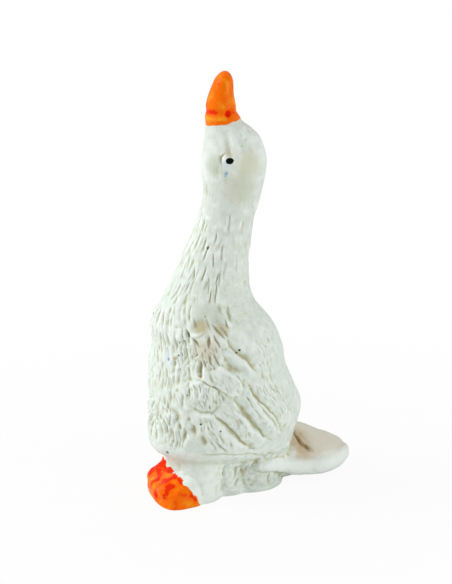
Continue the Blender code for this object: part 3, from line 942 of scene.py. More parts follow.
@dataclass(frozen=True)
class CastingLumps(Carving):
    """The unevenness of the casting and of the hand that carved its model."""

    tail: Tail
    swell: Noise = Noise(0.16, 4.2, 1)
    pits: Noise = Noise(1.0, 1.5, 2)
    pit_heights: tuple[float, float] = (0.05, 0.07)
    grit: Noise = Noise(1.0, 0.8, 3)
    grit_heights: tuple[float, float] = (0.02, 0.05)
    grit_stretch: tuple[float, float, float] = (1.0, 1.0, 0.6)
    crust: tuple[Noise, Noise] = (Noise(0.32, 1.9, 73), Noise(0.18, 0.8, 74))
    sway: tuple[Noise, Noise] = (Noise(0.5, 2.0, 71), Noise(0.5, 2.0, 72))
    bolster_reach: float = 2.6
    middle_half_width: float = 5.0
    gouges: int = 34
    gouge_seed: int = 5
    marks: tuple[Channel, ...] = (
        Channel(((-8.6, 12.6), (-8.0, 8.4), (-7.2, 4.8), (-6.8, 1.6)), 1.0, 0.45),
        Channel(((2.8, 10.2), (2.0, 7.2)), 0.50, 0.70),
        Channel(((3.9, 8.6), (5.6, 5.4)), 0.42, 0.60),
        Channel(((-5.1, 9.9), (-6.3, 7.5)), 0.50, 0.60),
        Channel(((-1.4, 7.8), (-1.6, 4.3)), 0.40, 0.40),
        Channel(((1.3, 8.6), (1.0, 5.2)), 0.35, 0.35),
    )

    def plumage(self, points: np.ndarray) -> np.ndarray:
        """Where the surface is rougher: on the trunk and the neck, less on the back."""
        share = eased(12.0, 16.0, points[:, 2]) * (1.0 - eased(66.0, 74.0, points[:, 2]))
        return share * (1.0 - 0.8 * eased(4.0, 12.0, points[:, 1]))

    def rump(self, points: np.ndarray) -> np.ndarray:
        """Where the rough rump block shows: low down, under the tail's bolster and behind the thighs."""
        _, y, z = points.T
        low = (1.0 - eased(11.5, 13.0, z)) * eased(0.6, 1.6, z)
        low *= 1.0 - eased(14.5, 16.5, y)
        bolster = self.tail.bolster_at(y)[1]
        rough = low * (1.0 - bell(z - bolster, self.bolster_reach) * eased(2.0, 4.5, y))
        return rough * (1.0 - 0.85 * eased(5.5, 7.5, -y))

    def relief(self, skin: Skin) -> np.ndarray:
        """Value noise at three sizes, and marks and short gouges at random on the rump block."""
        points = skin.points
        plumage, rough = self.plumage(points), self.rump(points)
        total = self.swell.at(points)
        for noise, (least, more), stretch in (
            (self.pits, self.pit_heights, (1.0, 1.0, 1.0)),
            (self.grit, self.grit_heights, self.grit_stretch),
        ):
            total += (least + more * plumage) * noise.at(points * stretch)
        coarse, fine = self.crust
        total += rough * (coarse.at(points) + fine.at(points))
        beside = wavering(points, self.sway)
        cut = deepest(beside, self.marks)
        rng = np.random.default_rng(self.gouge_seed)
        for number in range(self.gouges):
            side = Side.RIGHT if number % 2 else Side.LEFT
            middle = np.array([rng.uniform(-5.0, 14.5), rng.uniform(1.5, 11.0)])
            slant = math.radians(rng.uniform(50.0, 130.0))
            half = rng.uniform(0.8, 2.0) * np.array([math.cos(slant), math.sin(slant)])
            half_width, depth = rng.uniform(0.25, 0.5), rng.uniform(0.2, 0.5)
            found = line_cut(beside, middle - half, middle + half, half_width, depth)
            cut = np.maximum(cut, np.where(skin.side == side.value, found, 0.0))
        return total - cut * rough * (np.abs(points[:, 0]) > self.middle_half_width)


def table(kind: type, *rows: tuple[object, ...]) -> tuple[object, ...]:
    """One item of a kind for each row, made from the row's values."""
    return tuple(kind(*row) for row in rows)


SECTIONS = table(
    Section,
    (14.0, 18.7, 18.0, 14.6),
    (20.0, 18.5, 19.5, 15.9),
    (26.5, 17.7, 16.6, 16.1),
    (31.0, 17.3, 14.6, 15.9),
    (36.5, 16.9, 13.4, 15.2),
    (42.0, 17.3, 10.7, 13.8),
    (46.4, 15.9, 7.1, 10.8),
    (50.8, 13.1, 5.8, 8.8),
    (55.1, 11.0, 5.8, 7.9),
    (59.4, 9.1, 6.2, 7.2),
    (63.7, 6.8, 7.0, 6.6),
    (68.0, 5.3, 7.9, 6.2),
    (72.2, 4.5, 8.9, 6.1),
    (76.5, 5.0, 9.8, 6.3),
    (79.5, 5.1, 10.1, 6.4),
    (82.8, 4.6, 9.3, 6.2),
    (85.2, 4.2, 8.1, 5.7),
    (87.0, 4.0, 6.2, 5.0),
    (88.5, 4.0, 4.3, 4.4),
    (91.0, 4.05, 3.3, 4.05),
    (95.0, 3.1, 2.5, 3.4),
    (98.0, 2.0, 2.3, 3.0),
    (100.0, 1.0, 2.1, 2.5),
)
CORE_SECTIONS = table(Section, (-5.0, 8.0, 6.0, 7.4), (6.0, 8.0, 6.0, 8.4), (14.0, 8.0, 6.0, 11.0))
THIGH_SECTIONS = table(
    Section,
    (-5.0, 14.6, -3.4, 5.0),
    (4.0, 14.2, -3.2, 5.2),
    (9.0, 13.4, -2.8, 5.7),
    (13.0, 14.6, -1.0, 7.6),
    (17.0, 14.0, 1.0, 7.8),
)
FOOT_SECTIONS = table(
    Section,
    (-5.0, 18.8, -6.6, 9.6),
    (0.0, 18.9, -6.6, 9.6),
    (1.8, 19.3, -6.6, 9.6),
    (3.4, 19.2, -6.6, 9.4),
    (5.0, 17.7, -6.8, 8.8),
    (6.3, 15.4, -7.2, 7.8),
    (7.6, 12.6, -7.8, 6.0),
)
RUMP_SECTIONS = table(
    Section,
    (-5.0, 2.4, 15.0, 8.6),
    (1.0, 2.4, 15.2, 8.9),
    (4.5, 2.8, 15.5, 10.0),
    (8.5, 3.8, 15.8, 11.7),
    (12.0, 5.0, 16.4, 13.1),
    (16.0, 6.0, 16.0, 13.0),
)
TAIL_CUTS = table(
    TailCut,
    (4.0, 9.0, 16.5, 0.4),
    (12.0, 10.4, 15.4, 0.6),
    (17.0, 11.0, 13.9, 0.6),
    (22.0, 11.4, 11.9, 0.3),
    (27.0, 10.0, 9.5, 0.6),
    (31.0, 7.3, 7.6, 1.7),
    (33.3, 5.0, 6.2, 2.4),
    (34.5, 1.8, 4.7, 3.4),
)
BOLSTER_RINGS = table(
    BolsterRing,
    (2.6, 10.7, 7.7, 0.9),
    (4.5, 10.5, 7.5, 1.9),
    (8.0, 9.9, 6.8, 2.1),
    (12.0, 9.0, 5.8, 2.3),
    (17.0, 8.7, 4.7, 2.4),
    (22.0, 9.0, 4.2, 2.45),
    (27.0, 7.7, 4.1, 2.35),
    (31.0, 5.1, 4.15, 2.1),
    (33.3, 3.1, 4.1, 1.5),
    (34.4, 1.2, 4.05, 0.6),
)
WING_OUTLINE = (
    (-22, 45.0),
    (-38, 43.0),
    (-46, 38.0),
    (-50, 32.0),
    (-46, 23.0),
    (-38, 14.6),
    (-12, 13.6),
    (14, 12.2),
    (40, 11.6),
    (41, 16.8),
    (31, 21.2),
    (25, 26.5),
    (20, 32.0),
    (14, 38.0),
    (0, 42.5),
)
FEATHERS = table(
    Feather,
    ((-66, 30.5), (-50, 24.0), 5.0, 0.55, 3),
    ((-42, 22.4), (-10, 13.6), 4.6, 0.50, 0),
    ((-29, 25.4), (4, 14.2), 4.2, 0.70, 0),
    ((-13, 28.6), (16, 15.6), 4.6, 0.80, 0),
    ((0, 31.4), (27, 17.4), 4.8, 0.45, 0),
    ((-50, 33.6), (-39, 25.0), 8.2, 0.85, 0),
    ((-36, 34.0), (-11, 28.4), 5.4, 0.80, 0),
    ((-34, 40.4), (-36, 33.6), 7.4, 0.45, 0),
    ((-52, 41.9), (-68, 41.4), 3.4, 0.34, 0),
    ((-49, 42.0), (-52, 36.6), 2.8, 0.38, 0),
    ((-38, 42.4), (-39, 38.6), 2.6, 0.35, 0),
    ((-27, 43.0), (-28, 38.9), 2.4, 0.35, 0),
    ((-20, 42.8), (-21, 38.8), 2.6, 0.35, 0),
    ((-88, 23.2), (-64, 19.6), 4.6, 0.35, 3),
)
RIDGES = table(
    Channel,
    (((-50.5, 41.8), (-43, 41.9), (-35.7, 42.6)), 0.55, 0.50),
    (((-49, 36.4), (-41.6, 38.0), (-35.4, 39.8)), 0.45, 0.50),
    (((-22, 38.0), (-14, 36.6), (-7.3, 34.6), (-1.0, 32.4)), 1.05, 0.75),
    (((-23.4, 33.1), (-16.3, 32.5), (-7.4, 31.9)), 0.70, 0.35),
)
CHANNELS = table(
    Channel,
    (((-44.4, 43.6), (-37.6, 44.0), (-30.9, 44.1)), 1.00, 0.55),
    (((-21.1, 44.6), (-15.2, 43.9), (-9.2, 43.2)), 1.30, 0.55),
    (((-31.2, 22.6), (-23.8, 19.8), (-17.4, 17.8), (-10.8, 16.2), (-3.0, 14.0)), 0.50, 1.10, 1.00),
    (((-17, 27.0), (-12.6, 23.5), (-7.4, 20.8), (-1.1, 18.9), (5.4, 17.0), (9.5, 15.9)), 0.5, 1.02, 1.45),
    (((-4.4, 29.3), (-0.1, 26.1), (2.7, 23.6), (7.4, 21.4), (13.5, 18.9), (18.7, 17.3)), 0.45, 0.98, 1.8),
    (((10.0, 39.6), (12.0, 38.4), (16.2, 35.5), (18.9, 32.4), (20.0, 28.0)), 0.40, 0.35, 0.8),
    (((-16.0, 39.8), (-13.0, 38.1), (-5.4, 36.0), (1.0, 33.4)), 0.42, 0.85, 1.50),
    (((-22.6, 35.9), (-18.0, 34.4), (-12.7, 33.5)), 0.95, 0.65),
    (((-46.5, 31.9), (-37.7, 31.1), (-30.3, 29.9), (-24.4, 28.4)), 0.34, 0.55),
    (((-62.0, 30.4), (-54.0, 31.4), (-46.5, 31.9)), 0.60, 0.30),
    (((-51, 25.0), (-44, 24.0), (-36, 24.2), (-29, 26.0)), 0.60, 0.50),
    (((-72.0, 24.6), (-64.5, 22.6), (-59.0, 18.4)), 0.50, 0.55, 0.90),
    (((-44.4, 35.8), (-44.2, 33.8), (-42.8, 32.3)), 0.62, 1.35),
    (((-52.8, 42.8), (-50.5, 41.2)), 0.50, 1.10),
    (((-45.6, 41.0), (-41.4, 39.5)), 0.40, 0.85),
    (((-31.0, 41.5), (-34.2, 39.4)), 0.45, 1.05),
    (((-26.3, 41.8), (-24.8, 39.6)), 0.40, 0.85),
    (((-24.2, 43.8), (-18.0, 41.2)), 0.42, 0.95),
    (((-18.2, 44.3), (-14.4, 41.6)), 0.40, 0.75),
    (((-41.2, 36.5), (-38.4, 34.7)), 0.36, 0.70),
    (((-35.8, 37.9), (-33.2, 35.3)), 0.42, 0.80),
    (((-31.8, 38.1), (-28.2, 35.2)), 0.42, 0.80),
    (((-34.9, 18.1), (-28.9, 16.3), (-21.2, 14.0)), 0.34, 0.50),
    (((-37.0, 17.7), (-30.5, 15.0)), 0.30, 0.35),
    (((-50.5, 20.7), (-47.0, 18.2)), 0.55, 0.75),
    (((-41.0, 18.2), (-38.0, 16.0)), 0.60, 0.95),
    (((-56.0, 19.2), (-53.6, 16.6)), 0.50, 0.60),
    (((-61.2, 18.8), (-58.8, 16.5)), 0.42, 0.50),
    (((-87.0, 20.6), (-80.5, 18.2), (-77.5, 16.4)), 0.40, 0.60, 0.80),
    (((-80.0, 21.6), (-74.0, 19.0), (-70.5, 16.8)), 0.40, 0.65, 0.80),
    (((-73.0, 21.0), (-68.0, 18.2), (-66.0, 16.0)), 0.36, 0.50, 0.70),
    (((-85.0, 45.8), (-83.2, 42.3)), 0.55, 0.50),
    (((-76.8, 45.8), (-75.8, 41.5)), 0.70, 0.45),
    (((-67.6, 35.6), (-71.6, 33.6)), 0.70, 0.45),
    (((-14.9, 48.2), (-9.7, 45.6)), 0.60, 0.35),
    (((-2.0, 47.8), (-3.8, 44.4)), 0.60, 0.40),
    (((-40, 13.4), (-20.2, 13.3), (-4.2, 12.5), (22.2, 10.6)), 0.36, 0.34),
)
HATCHINGS = (
    Hatching((-40, 28.4), (4.6, 3.0), 0.72, -8.0, 16.0, 2.3, 0.30),
    Hatching((-22, 30.9), (4.4, 2.0), 0.66, -12.0, 26.0, 1.3, 0.18),
    Hatching((-34, 37.0), (2.6, 2.6), 0.80, -8.0, 22.0, 1.4, 0.24),
    Hatching((-57, 37.0), (3.0, 5.0), 0.95, 4.0, 24.0, 2.0, 0.22),
    Hatching((-24, 20.5), (6.0, 4.0), 0.70, -24.0, 10.0, 2.4, 0.30),
    Hatching((-8, 22.5), (4.0, 5.0), 0.65, -20.0, 10.0, 2.4, 0.30),
    Hatching((8, 24.0), (4.6, 6.4), 0.62, -16.0, 10.0, 2.6, 0.30),
    Hatching((16, 35.0), (2.6, 5.0), 0.80, -20.0, 14.0, 1.8, 0.20),
    Hatching((-80, 21.5), (4.4, 4.0), 0.85, -16.0, 14.0, 3.0, 0.32),
)


def linear(hex_color: str) -> tuple[float, float, float, float]:
    """An sRGB colour as the linear one that the shaders take.

    Args:
        hex_color: The colour, as a hash and six hex digits.

    Returns:
        Red, green, blue and an alpha of 1.
    """
    shares = [int(hex_color[at : at + 2], 16) / 255 for at in (1, 3, 5)]
    red, green, blue = (s / 12.92 if s <= 0.04045 else ((s + 0.055) / 1.055) ** 2.4 for s in shares)
    return red, green, blue, 1.0


MIX_FACTOR = 0
MIX_UNDER = 6
MIX_OVER = 7
MIX_RESULT = 2
NOISE_LOW = 0.35
NOISE_HIGH = 0.65


def add_node(
    tree: bpy.types.NodeTree,
    kind: str,
    inputs: dict[int | str, object],
    out: int | str = 0,
    **settings: object,
) -> bpy.types.NodeSocket:
    """Add a node with its settings, its input values and its links.

    Args:
        tree: The node tree that it joins.
        kind: The node's type.
        inputs: What each input gets, a socket to link or a value.
        out: The output that is wanted.
        settings: Properties of the node.

    Returns:
        The output socket.
    """
    added = tree.nodes.new(kind)
    for name, value in settings.items():
        setattr(added, name, value)
    for key, value in inputs.items():
        if isinstance(value, bpy.types.NodeSocket):
            tree.links.new(value, added.inputs[key])
        else:
            added.inputs[key].default_value = value
    return added.outputs[out]


@dataclass(frozen=True)
class Coat:
    """One coat of paint as nodes: its colour, its roughness and the height of its own texture."""

    color: bpy.types.NodeSocket
    roughness: bpy.types.NodeSocket
    height: bpy.types.NodeSocket


@dataclass(frozen=True)
class Wash:
    """A tint over a coat where a mask runs from one value to another, and the share of it at most."""

    tint: str
    mask: str
    start: float
    full: float
    most: float = 1.0


def washed(
    tree: bpy.types.NodeTree, color: str, masks: dict[str, bpy.types.NodeSocket], washes: tuple[Wash, ...]
) -> bpy.types.NodeSocket:
    """A colour with washes laid over it.

    Args:
        tree: The material's node tree.
        color: The colour under the washes.
        masks: Each mask by its name.
        washes: The washes, the lowest first.

    Returns:
        The colour that is seen.
    """
    seen = linear(color)
    for wash in washes:
        share = add_node(tree, "ShaderNodeMapRange", {"Value": masks[wash.mask], "From Min": wash.start,
                                                      "From Max": wash.full, "To Max": wash.most})
        seen = add_node(tree, "ShaderNodeMix", {MIX_FACTOR: share, MIX_UNDER: seen,
                                                MIX_OVER: linear(wash.tint)}, MIX_RESULT, data_type="RGBA")
    return seen


@dataclass(frozen=True)
class SatinWhitePaint:
    """Satin acrylic, brushed thin over cast resin.

    It is a cool white with warmer and greyer patches a few millimetres across. It has yellowed in the
    hollows, where the coat is thin over the resin, and painted shade darkens them too. Painted highlights
    make it palest on the ridges and over the tail's bolsters.
    Each pattern has its size in millimetres, its detail and its roughness.
    """

    cool: str = "#DDE7E0"
    washes: tuple[Wash, ...] = (
        # Warm patches, the cooler trunk and grey mottling break up the white.
        Wash("#E1E5D7", "patch", 0.38, 0.62),
        Wash("#E3EFE4", "height", 70.0 * MM, 46.0 * MM, 0.75),
        Wash("#C9D3C8", "mottle", 0.50, 0.78, 0.75),
        # Yellow hollows, partly yellowed paint and partly painted shade, and painted highlights on the ridges
        # make the broad forms read.
        Wash("#D0CAA4", "hollow", 0.09, 0.36, 0.90),
        Wash("#E9F1EC", "hollow", 0.04, -0.12, 0.80),
        # Painted shade as olive lines in the strokes, and painted highlights on their near-white crests, make
        # the strokes read.
        Wash("#B3B092", "fine_hollow", 0.026, 0.14, 0.68),
        Wash("#F3FAF5", "fine_hollow", -0.024, -0.085, 0.85),
        # The tail's top is beige, and a dark brown line with a tan band about it lies in the crease at its
        # root.
        Wash("#E5DFCE", "tail_top", 0.0, 1.0, 0.85),
        Wash("#BE9F6C", "root_crease_tan", 0.0, 1.0, 0.80),
        Wash("#75602A", "root_crease_brown", 0.0, 1.0, 0.85),
    )
    roughness_low: float = 0.34
    roughness_high: float = 0.56
    patch: tuple[float, float, float] = (9.0, 3.0, 0.6)
    mottle: tuple[float, float, float] = (1.6, 4.0, 0.65)
    grain: tuple[float, float, float] = (0.35, 2.0, 0.5)
    unevenness: float = 0.16
    strand_mm: float = 0.5
    strand_stretch: float = 0.22
    pore_mm: float = 2.6
    pore_share: float = 0.06
    pore_depth: float = 2.0

    def coat(self, tree: bpy.types.NodeTree, place: bpy.types.NodeSocket) -> Coat:
        """The paint's nodes.

        Args:
            tree: The material's node tree.
            place: Object coordinates.

        Returns:
            The coat.
        """
        patch, mottle, grain = (
            add_node(tree, "ShaderNodeTexNoise", {"Vector": place, "Scale": 1 / (size * MM),
                                                  "Detail": detail, "Roughness": roughness})
            for size, detail, roughness in (self.patch, self.mottle, self.grain)
        )
        masks = {
            name: add_node(tree, "ShaderNodeAttribute", {}, "Fac", attribute_name=name)
            for name in ("hollow", "fine_hollow", "tail_top", "root_crease_tan", "root_crease_brown")
        }
        uneven = add_node(tree, "ShaderNodeMath", {0: mottle, 1: self.unevenness}, operation="MULTIPLY")
        masks["hollow"] = add_node(tree, "ShaderNodeMath", {0: masks["hollow"], 1: uneven}, operation="ADD")
        masks["height"] = add_node(tree, "ShaderNodeSeparateXYZ", {0: place}, "Z")
        color = washed(tree, self.cool, {**masks, "patch": patch, "mottle": mottle}, self.washes)
        roughness = add_node(tree, "ShaderNodeMapRange", {"Value": mottle, "From Min": NOISE_LOW,
                                                          "From Max": NOISE_HIGH,
                                                          "To Min": self.roughness_low,
                                                          "To Max": self.roughness_high})
        stretch = (1.0, 1.0, self.strand_stretch)
        strands = add_node(tree, "ShaderNodeMapping", {"Vector": place, "Scale": stretch})
        strands = add_node(tree, "ShaderNodeTexNoise", {"Vector": strands, "Scale": 1 / (self.strand_mm * MM),
                                                        "Detail": 2.0})
        texture = add_node(tree, "ShaderNodeMath", {0: grain, 1: strands}, operation="ADD")
        pore = add_node(tree, "ShaderNodeTexVoronoi", {"Vector": place, "Scale": 1 / (self.pore_mm * MM)})
        pore = add_node(tree, "ShaderNodeMapRange", {"Value": pore, "From Min": self.pore_share,
                                                     "From Max": self.pore_share / 2,
                                                     "To Max": -self.pore_depth})
        texture = add_node(tree, "ShaderNodeMath", {0: texture, 1: pore}, operation="ADD")
        return Coat(color, roughness, texture)


@dataclass(frozen=True)
class OrangeEnamel:
    """Glossy orange enamel, flooded over the bill and the feet with one loaded brush.

    It pools darker and redder in the hollows, where that red is also painted shade, and thins to a lighter
    orange where the brush dragged.
    """

    body: str = "#FF7303"
    washes: tuple[Wash, ...] = (
        # A lighter orange where it is thin, and a clear red where it has pooled, which in the hollows is
        # painted shade as well.
        Wash("#FFA422", "deep", 0.45, 0.22, 0.90),
        Wash("#F01A00", "deep", 0.55, 0.70, 0.90),
    )
    roughness_low: float = 0.20
    roughness_high: float = 0.34
    pool_mm: float = 2.6
    pooled_and_shaded_between: tuple[float, float] = (0.02, 0.25)
    pooled_and_shaded_share: float = 0.25

    def coat(self, tree: bpy.types.NodeTree, place: bpy.types.NodeSocket) -> Coat:
        """The enamel's nodes.

        Args:
            tree: The material's node tree.
            place: Object coordinates.

        Returns:
            The coat.
        """
        pool = add_node(tree, "ShaderNodeTexNoise", {"Vector": place, "Scale": 1 / (self.pool_mm * MM),
                                                     "Detail": 3.0, "Roughness": 0.55})
        hollow = add_node(tree, "ShaderNodeAttribute", {}, "Fac", attribute_name="hollow")
        red = add_node(tree, "ShaderNodeAttribute", {}, "Fac", attribute_name="red_patch")
        # The hollows push the enamel towards its red, as pooled enamel and as painted shade.
        start, full = self.pooled_and_shaded_between
        low = add_node(tree, "ShaderNodeMapRange", {"Value": hollow, "From Min": start, "From Max": full,
                                                    "To Max": self.pooled_and_shaded_share})
        deep = add_node(tree, "ShaderNodeMath", {0: pool, 1: low}, operation="ADD")
        deep = add_node(tree, "ShaderNodeMath", {0: deep, 1: red}, operation="ADD")
        color = washed(tree, self.body, {"deep": deep}, self.washes)
        roughness = add_node(tree, "ShaderNodeMapRange", {"Value": pool, "From Min": NOISE_LOW,
                                                          "From Max": NOISE_HIGH,
                                                          "To Min": self.roughness_low,
                                                          "To Max": self.roughness_high})
        return Coat(color, roughness, pool)


@dataclass(frozen=True)
class Speck:
    """A dark fleck, a pinhole, a slip of the brush, a faint patch, or a patch of painted shade or painted
    highlight, with its place and its strength.
    """

    place: tuple[float, float, float]
    radius: float
    color: str
    strength: float


@dataclass(frozen=True)
class HandPainting:
    """The whole paint job on the casting, as one material whose coats meet at ragged borders."""

    white: SatinWhitePaint = SatinWhitePaint()
    orange: OrangeEnamel = OrangeEnamel()
    eye: str = "#0B0D10"
    eye_roughness: float = 0.16
    ior: float = 1.49
    gloss: float = 0.06
    raggedness_mm: float = 1.9
    ragged_reach: float = 1.9
    border_softness: float = 0.10
    eye_edge: tuple[float, float] = (-0.05, 0.07)
    speck_core: float = 0.4
    enamel_step: float = 1.2
    bump: float = 0.55
    bump_mm: float = 0.15
    specks_and_painted_light: tuple[Speck, ...] = ()

    def material(self) -> bpy.types.Material:
        """Build the material.

        Returns:
            The material.
        """
        made = bpy.data.materials.new("hand_painted_cast_resin")
        made.use_nodes = True
        tree = made.node_tree
        shader = tree.nodes["Principled BSDF"]
        shader.inputs["IOR"].default_value = self.ior
        shader.inputs["Metallic"].default_value = 0.0
        shader.inputs["Specular IOR Level"].default_value = self.gloss
        place = add_node(tree, "ShaderNodeTexCoord", {}, "Object")
        white, orange = self.white.coat(tree, place), self.orange.coat(tree, place)
        scale = 1 / (self.raggedness_mm * MM)
        ragged = add_node(tree, "ShaderNodeTexNoise", {"Vector": place, "Scale": scale, "Detail": 4.0,
                                                       "Roughness": 0.62})
        ragged = add_node(tree, "ShaderNodeMath", {0: ragged, 1: 0.5}, operation="SUBTRACT")
        ragged = add_node(tree, "ShaderNodeMath", {0: ragged, 1: self.ragged_reach}, operation="MULTIPLY")
        border = add_node(tree, "ShaderNodeAttribute", {}, "Fac", attribute_name="orange_inside")
        border = add_node(tree, "ShaderNodeMath", {0: border, 1: ragged}, operation="ADD")
        is_orange = add_node(tree, "ShaderNodeMapRange", {"Value": border, "From Min": -self.border_softness,
                                                          "From Max": self.border_softness})
        color = white.color
        # Dots and patches, painted shade and painted highlight among them.
        for speck in self.specks_and_painted_light:
            away = add_node(tree, "ShaderNodeVectorMath", {0: place, 1: tuple(c * MM for c in speck.place)},
                            "Value", operation="DISTANCE")
            near = add_node(tree, "ShaderNodeMapRange", {"Value": away, "From Min": speck.radius * MM,
                                                         "From Max": speck.radius * MM * self.speck_core,
                                                         "To Max": speck.strength})
            color = add_node(tree, "ShaderNodeMix", {MIX_FACTOR: near, MIX_UNDER: color,
                                                     MIX_OVER: linear(speck.color)},
                             MIX_RESULT, data_type="RGBA")
        color = add_node(tree, "ShaderNodeMix", {MIX_FACTOR: is_orange, MIX_UNDER: color,
                                                 MIX_OVER: orange.color}, MIX_RESULT, data_type="RGBA")
        dot = add_node(tree, "ShaderNodeAttribute", {}, "Fac", attribute_name="eye_inside")
        is_eye = add_node(tree, "ShaderNodeMapRange", {"Value": dot, "From Min": self.eye_edge[0],
                                                       "From Max": self.eye_edge[1]})
        color = add_node(tree, "ShaderNodeMix", {MIX_FACTOR: is_eye, MIX_UNDER: color,
                                                 MIX_OVER: linear(self.eye)}, MIX_RESULT, data_type="RGBA")
        tree.links.new(color, shader.inputs["Base Color"])
        rough = add_node(tree, "ShaderNodeMix", {0: is_orange, 2: white.roughness, 3: orange.roughness})
        rough = add_node(tree, "ShaderNodeMix", {0: is_eye, 2: rough, 3: self.eye_roughness})
        tree.links.new(rough, shader.inputs["Roughness"])
        height = add_node(tree, "ShaderNodeMix", {0: is_orange, 2: white.height, 3: orange.height})
        step = add_node(tree, "ShaderNodeMath", {0: is_orange, 1: self.enamel_step, 2: height},
                        operation="MULTIPLY_ADD")
        bump = add_node(tree, "ShaderNodeBump", {"Strength": self.bump, "Distance": self.bump_mm * MM,
                                                 "Height": step})
        tree.links.new(bump, shader.inputs["Normal"])
        made.diffuse_color = linear(self.white.cool)
        return made


@dataclass(frozen=True)
class Brushwork:
    """Where the painter's brush went, where the crease at the tail's root is brown, and where highlights and
    shade are painted.
    """

    tail: Tail
    bill_border: float = 88.4
    bill_slope: float = 0.19
    bill_neatness: float = 2.2
    foot_border: float = 10.1
    foot_slope: float = 0.585
    foot_lead: float = 0.25
    foot_top: float = 8.2
    spike_tip: tuple[float, float, float] = (-5.9, -12.6, 8.6)
    spike_foot: tuple[float, float, float] = (-4.8, -14.0, 4.6)
    spike_spread: float = 1.5
    top_steepness: float = 3.0
    chip_depth: float = 3.0
    chips: tuple[tuple[float, float, float, float], ...] = (
        (2.4, -14.5, 6.6, 0.45),
        (7.9, -14.8, 5.7, 0.40),
        (-2.3, -13.7, 6.7, 0.50),
    )
    eye: tuple[float, float] = (0.98, 80.3)
    eye_half: tuple[float, float] = (0.95, 0.74)
    eye_from_middle: float = 4.0
    eye_shake: Noise = Noise(0.10, 0.6, 81)
    tail_from: float = 15.0
    tail_rim: float = 1.2
    tail_blend: float = 1.3
    tail_shake: Noise = Noise(0.5, 1.8, 93)
    # A painted highlight on the bolsters and, weaker, on the legs, and the share of the hollows' yellow and
    # painted shade that stays on the legs.
    highlight_strength: float = 0.13
    leg_highlight: float = 0.45
    leg_hollow_share: float = 0.15
    root_crease_brown: Channel = Channel(((17.2, 12.4), (17.3, 11.0), (17.6, 9.7), (18.4, 8.6), (19.6, 7.7)), 0.55, 1.0)
    crease_sway: Noise = Noise(0.3, 1.6, 91)
    crease_mottle: Noise = Noise(0.9, 0.8, 92)
    tan_half_width: float = 3.4
    tan_mottle: Noise = Noise(0.5, 1.3, 95)
    nostril: tuple[float, float] = (0.80, 90.6)
    nostril_radius: float = 0.75
    nostril_red: float = 0.6
    # Painted shade in the collar groove, as red, and a painted highlight on the rim below it, as paler
    # orange.
    collar: float = 91.0
    collar_shade_red: float = 0.17
    rim: float = 89.5
    rim_highlight: float = 0.30
    border_red: float = 0.26
    patch_red: float = 0.32
    bill_red: float = -0.05
    foot_pools: Noise = Noise(0.26, 1.7, 94)
    red_patches: tuple[tuple[float, float, float, float], ...] = (
        (-1.6, -18.2, 5.6, 1.6),
        (2.6, -17.6, 6.0, 1.7),
        (-4.6, -13.6, 6.6, 2.0),
        (2.6, -20.4, 2.2, 1.1),
        (8.4, -14.6, 3.0, 1.2),
        (6.4, -17.4, 4.6, 1.0),
    )

    def foot_inside(self, points: np.ndarray) -> np.ndarray:
        """How far inside the feet's orange each point lies: a slanted border and a spike, less the chips."""
        x, y, z = points.T
        forward = -y - self.foot_lead * np.clip(x, -5.0, 5.0)
        foot = (forward - self.foot_border - self.foot_slope * z) / math.hypot(1.0, self.foot_slope)
        foot = np.minimum(foot, self.top_steepness * (self.foot_top - z))
        spike = np.array(self.spike_foot) - self.spike_tip
        share = np.clip((points - self.spike_tip) @ spike / (spike @ spike), 0.0, 1.0)
        reach = np.linalg.norm(points - self.spike_tip - share[:, None] * spike, axis=1)
        foot = np.maximum(foot, self.spike_spread * share - reach)
        for *middle, radius in self.chips:
            foot -= self.chip_depth * mound(points, middle, radius)
        return foot

    def eye_inside(self, points: np.ndarray, head: np.ndarray) -> np.ndarray:
        """How far inside the eye's dot each point lies, an oval with a shaken edge."""
        away = (head[:, 1:] - self.eye) / self.eye_half
        eye = (1.0 - np.hypot(*away.T)) * min(self.eye_half) + self.eye_shake.at(points)
        return np.where(np.abs(head[:, 0]) > self.eye_from_middle, eye, -1.0)

    def tail_top(self, points: np.ndarray) -> np.ndarray:
        """Where the tail's beige top shows, up to a ragged line beside its edge."""
        x, y, z = points.T
        inside = self.tail.half_width(y) - self.tail_rim - np.abs(x) + self.tail_shake.at(points)
        tail = past(self.tail_from, y) * eased(-self.tail_blend, self.tail_blend, inside)
        return tail * (eased(3.5, 4.5, z) * (1.0 - eased(14.0, 17.0, z)))

    def redness(self, points: np.ndarray, head: np.ndarray, foot: np.ndarray) -> np.ndarray:
        """How much redder than plain orange it is: in pools, at the border and in the nostril, with painted
        shade in the collar groove and a painted highlight on the rim.
        """
        z = points[:, 2]
        patch = self.border_red * bell(foot - 0.5, 0.5) * (z < 8.5)
        for *middle, radius in self.red_patches:
            patch = np.maximum(patch, self.patch_red * mound(points, middle, radius))
        nostril = bell(np.hypot(*(head[:, 1:] - self.nostril).T), self.nostril_radius)
        patch = np.maximum(patch, self.nostril_red * nostril * (np.abs(head[:, 0]) > 1.5))
        # Painted shade in the collar groove, as a red band.
        patch = np.maximum(patch, self.collar_shade_red * bell(z - self.collar, 0.8) * (head[:, 1] < 0.3))
        foot_red = 0.14 * eased(1.5, 6.5, z) - 0.07 + self.foot_pools.at(points)
        red = np.where(z < 12.0, foot_red, self.bill_red) + patch
        # A painted highlight on the rim below the collar, as paler orange.
        return red - self.rim_highlight * bell(z - self.rim, 0.55) * (head[:, 1] < 0.6)

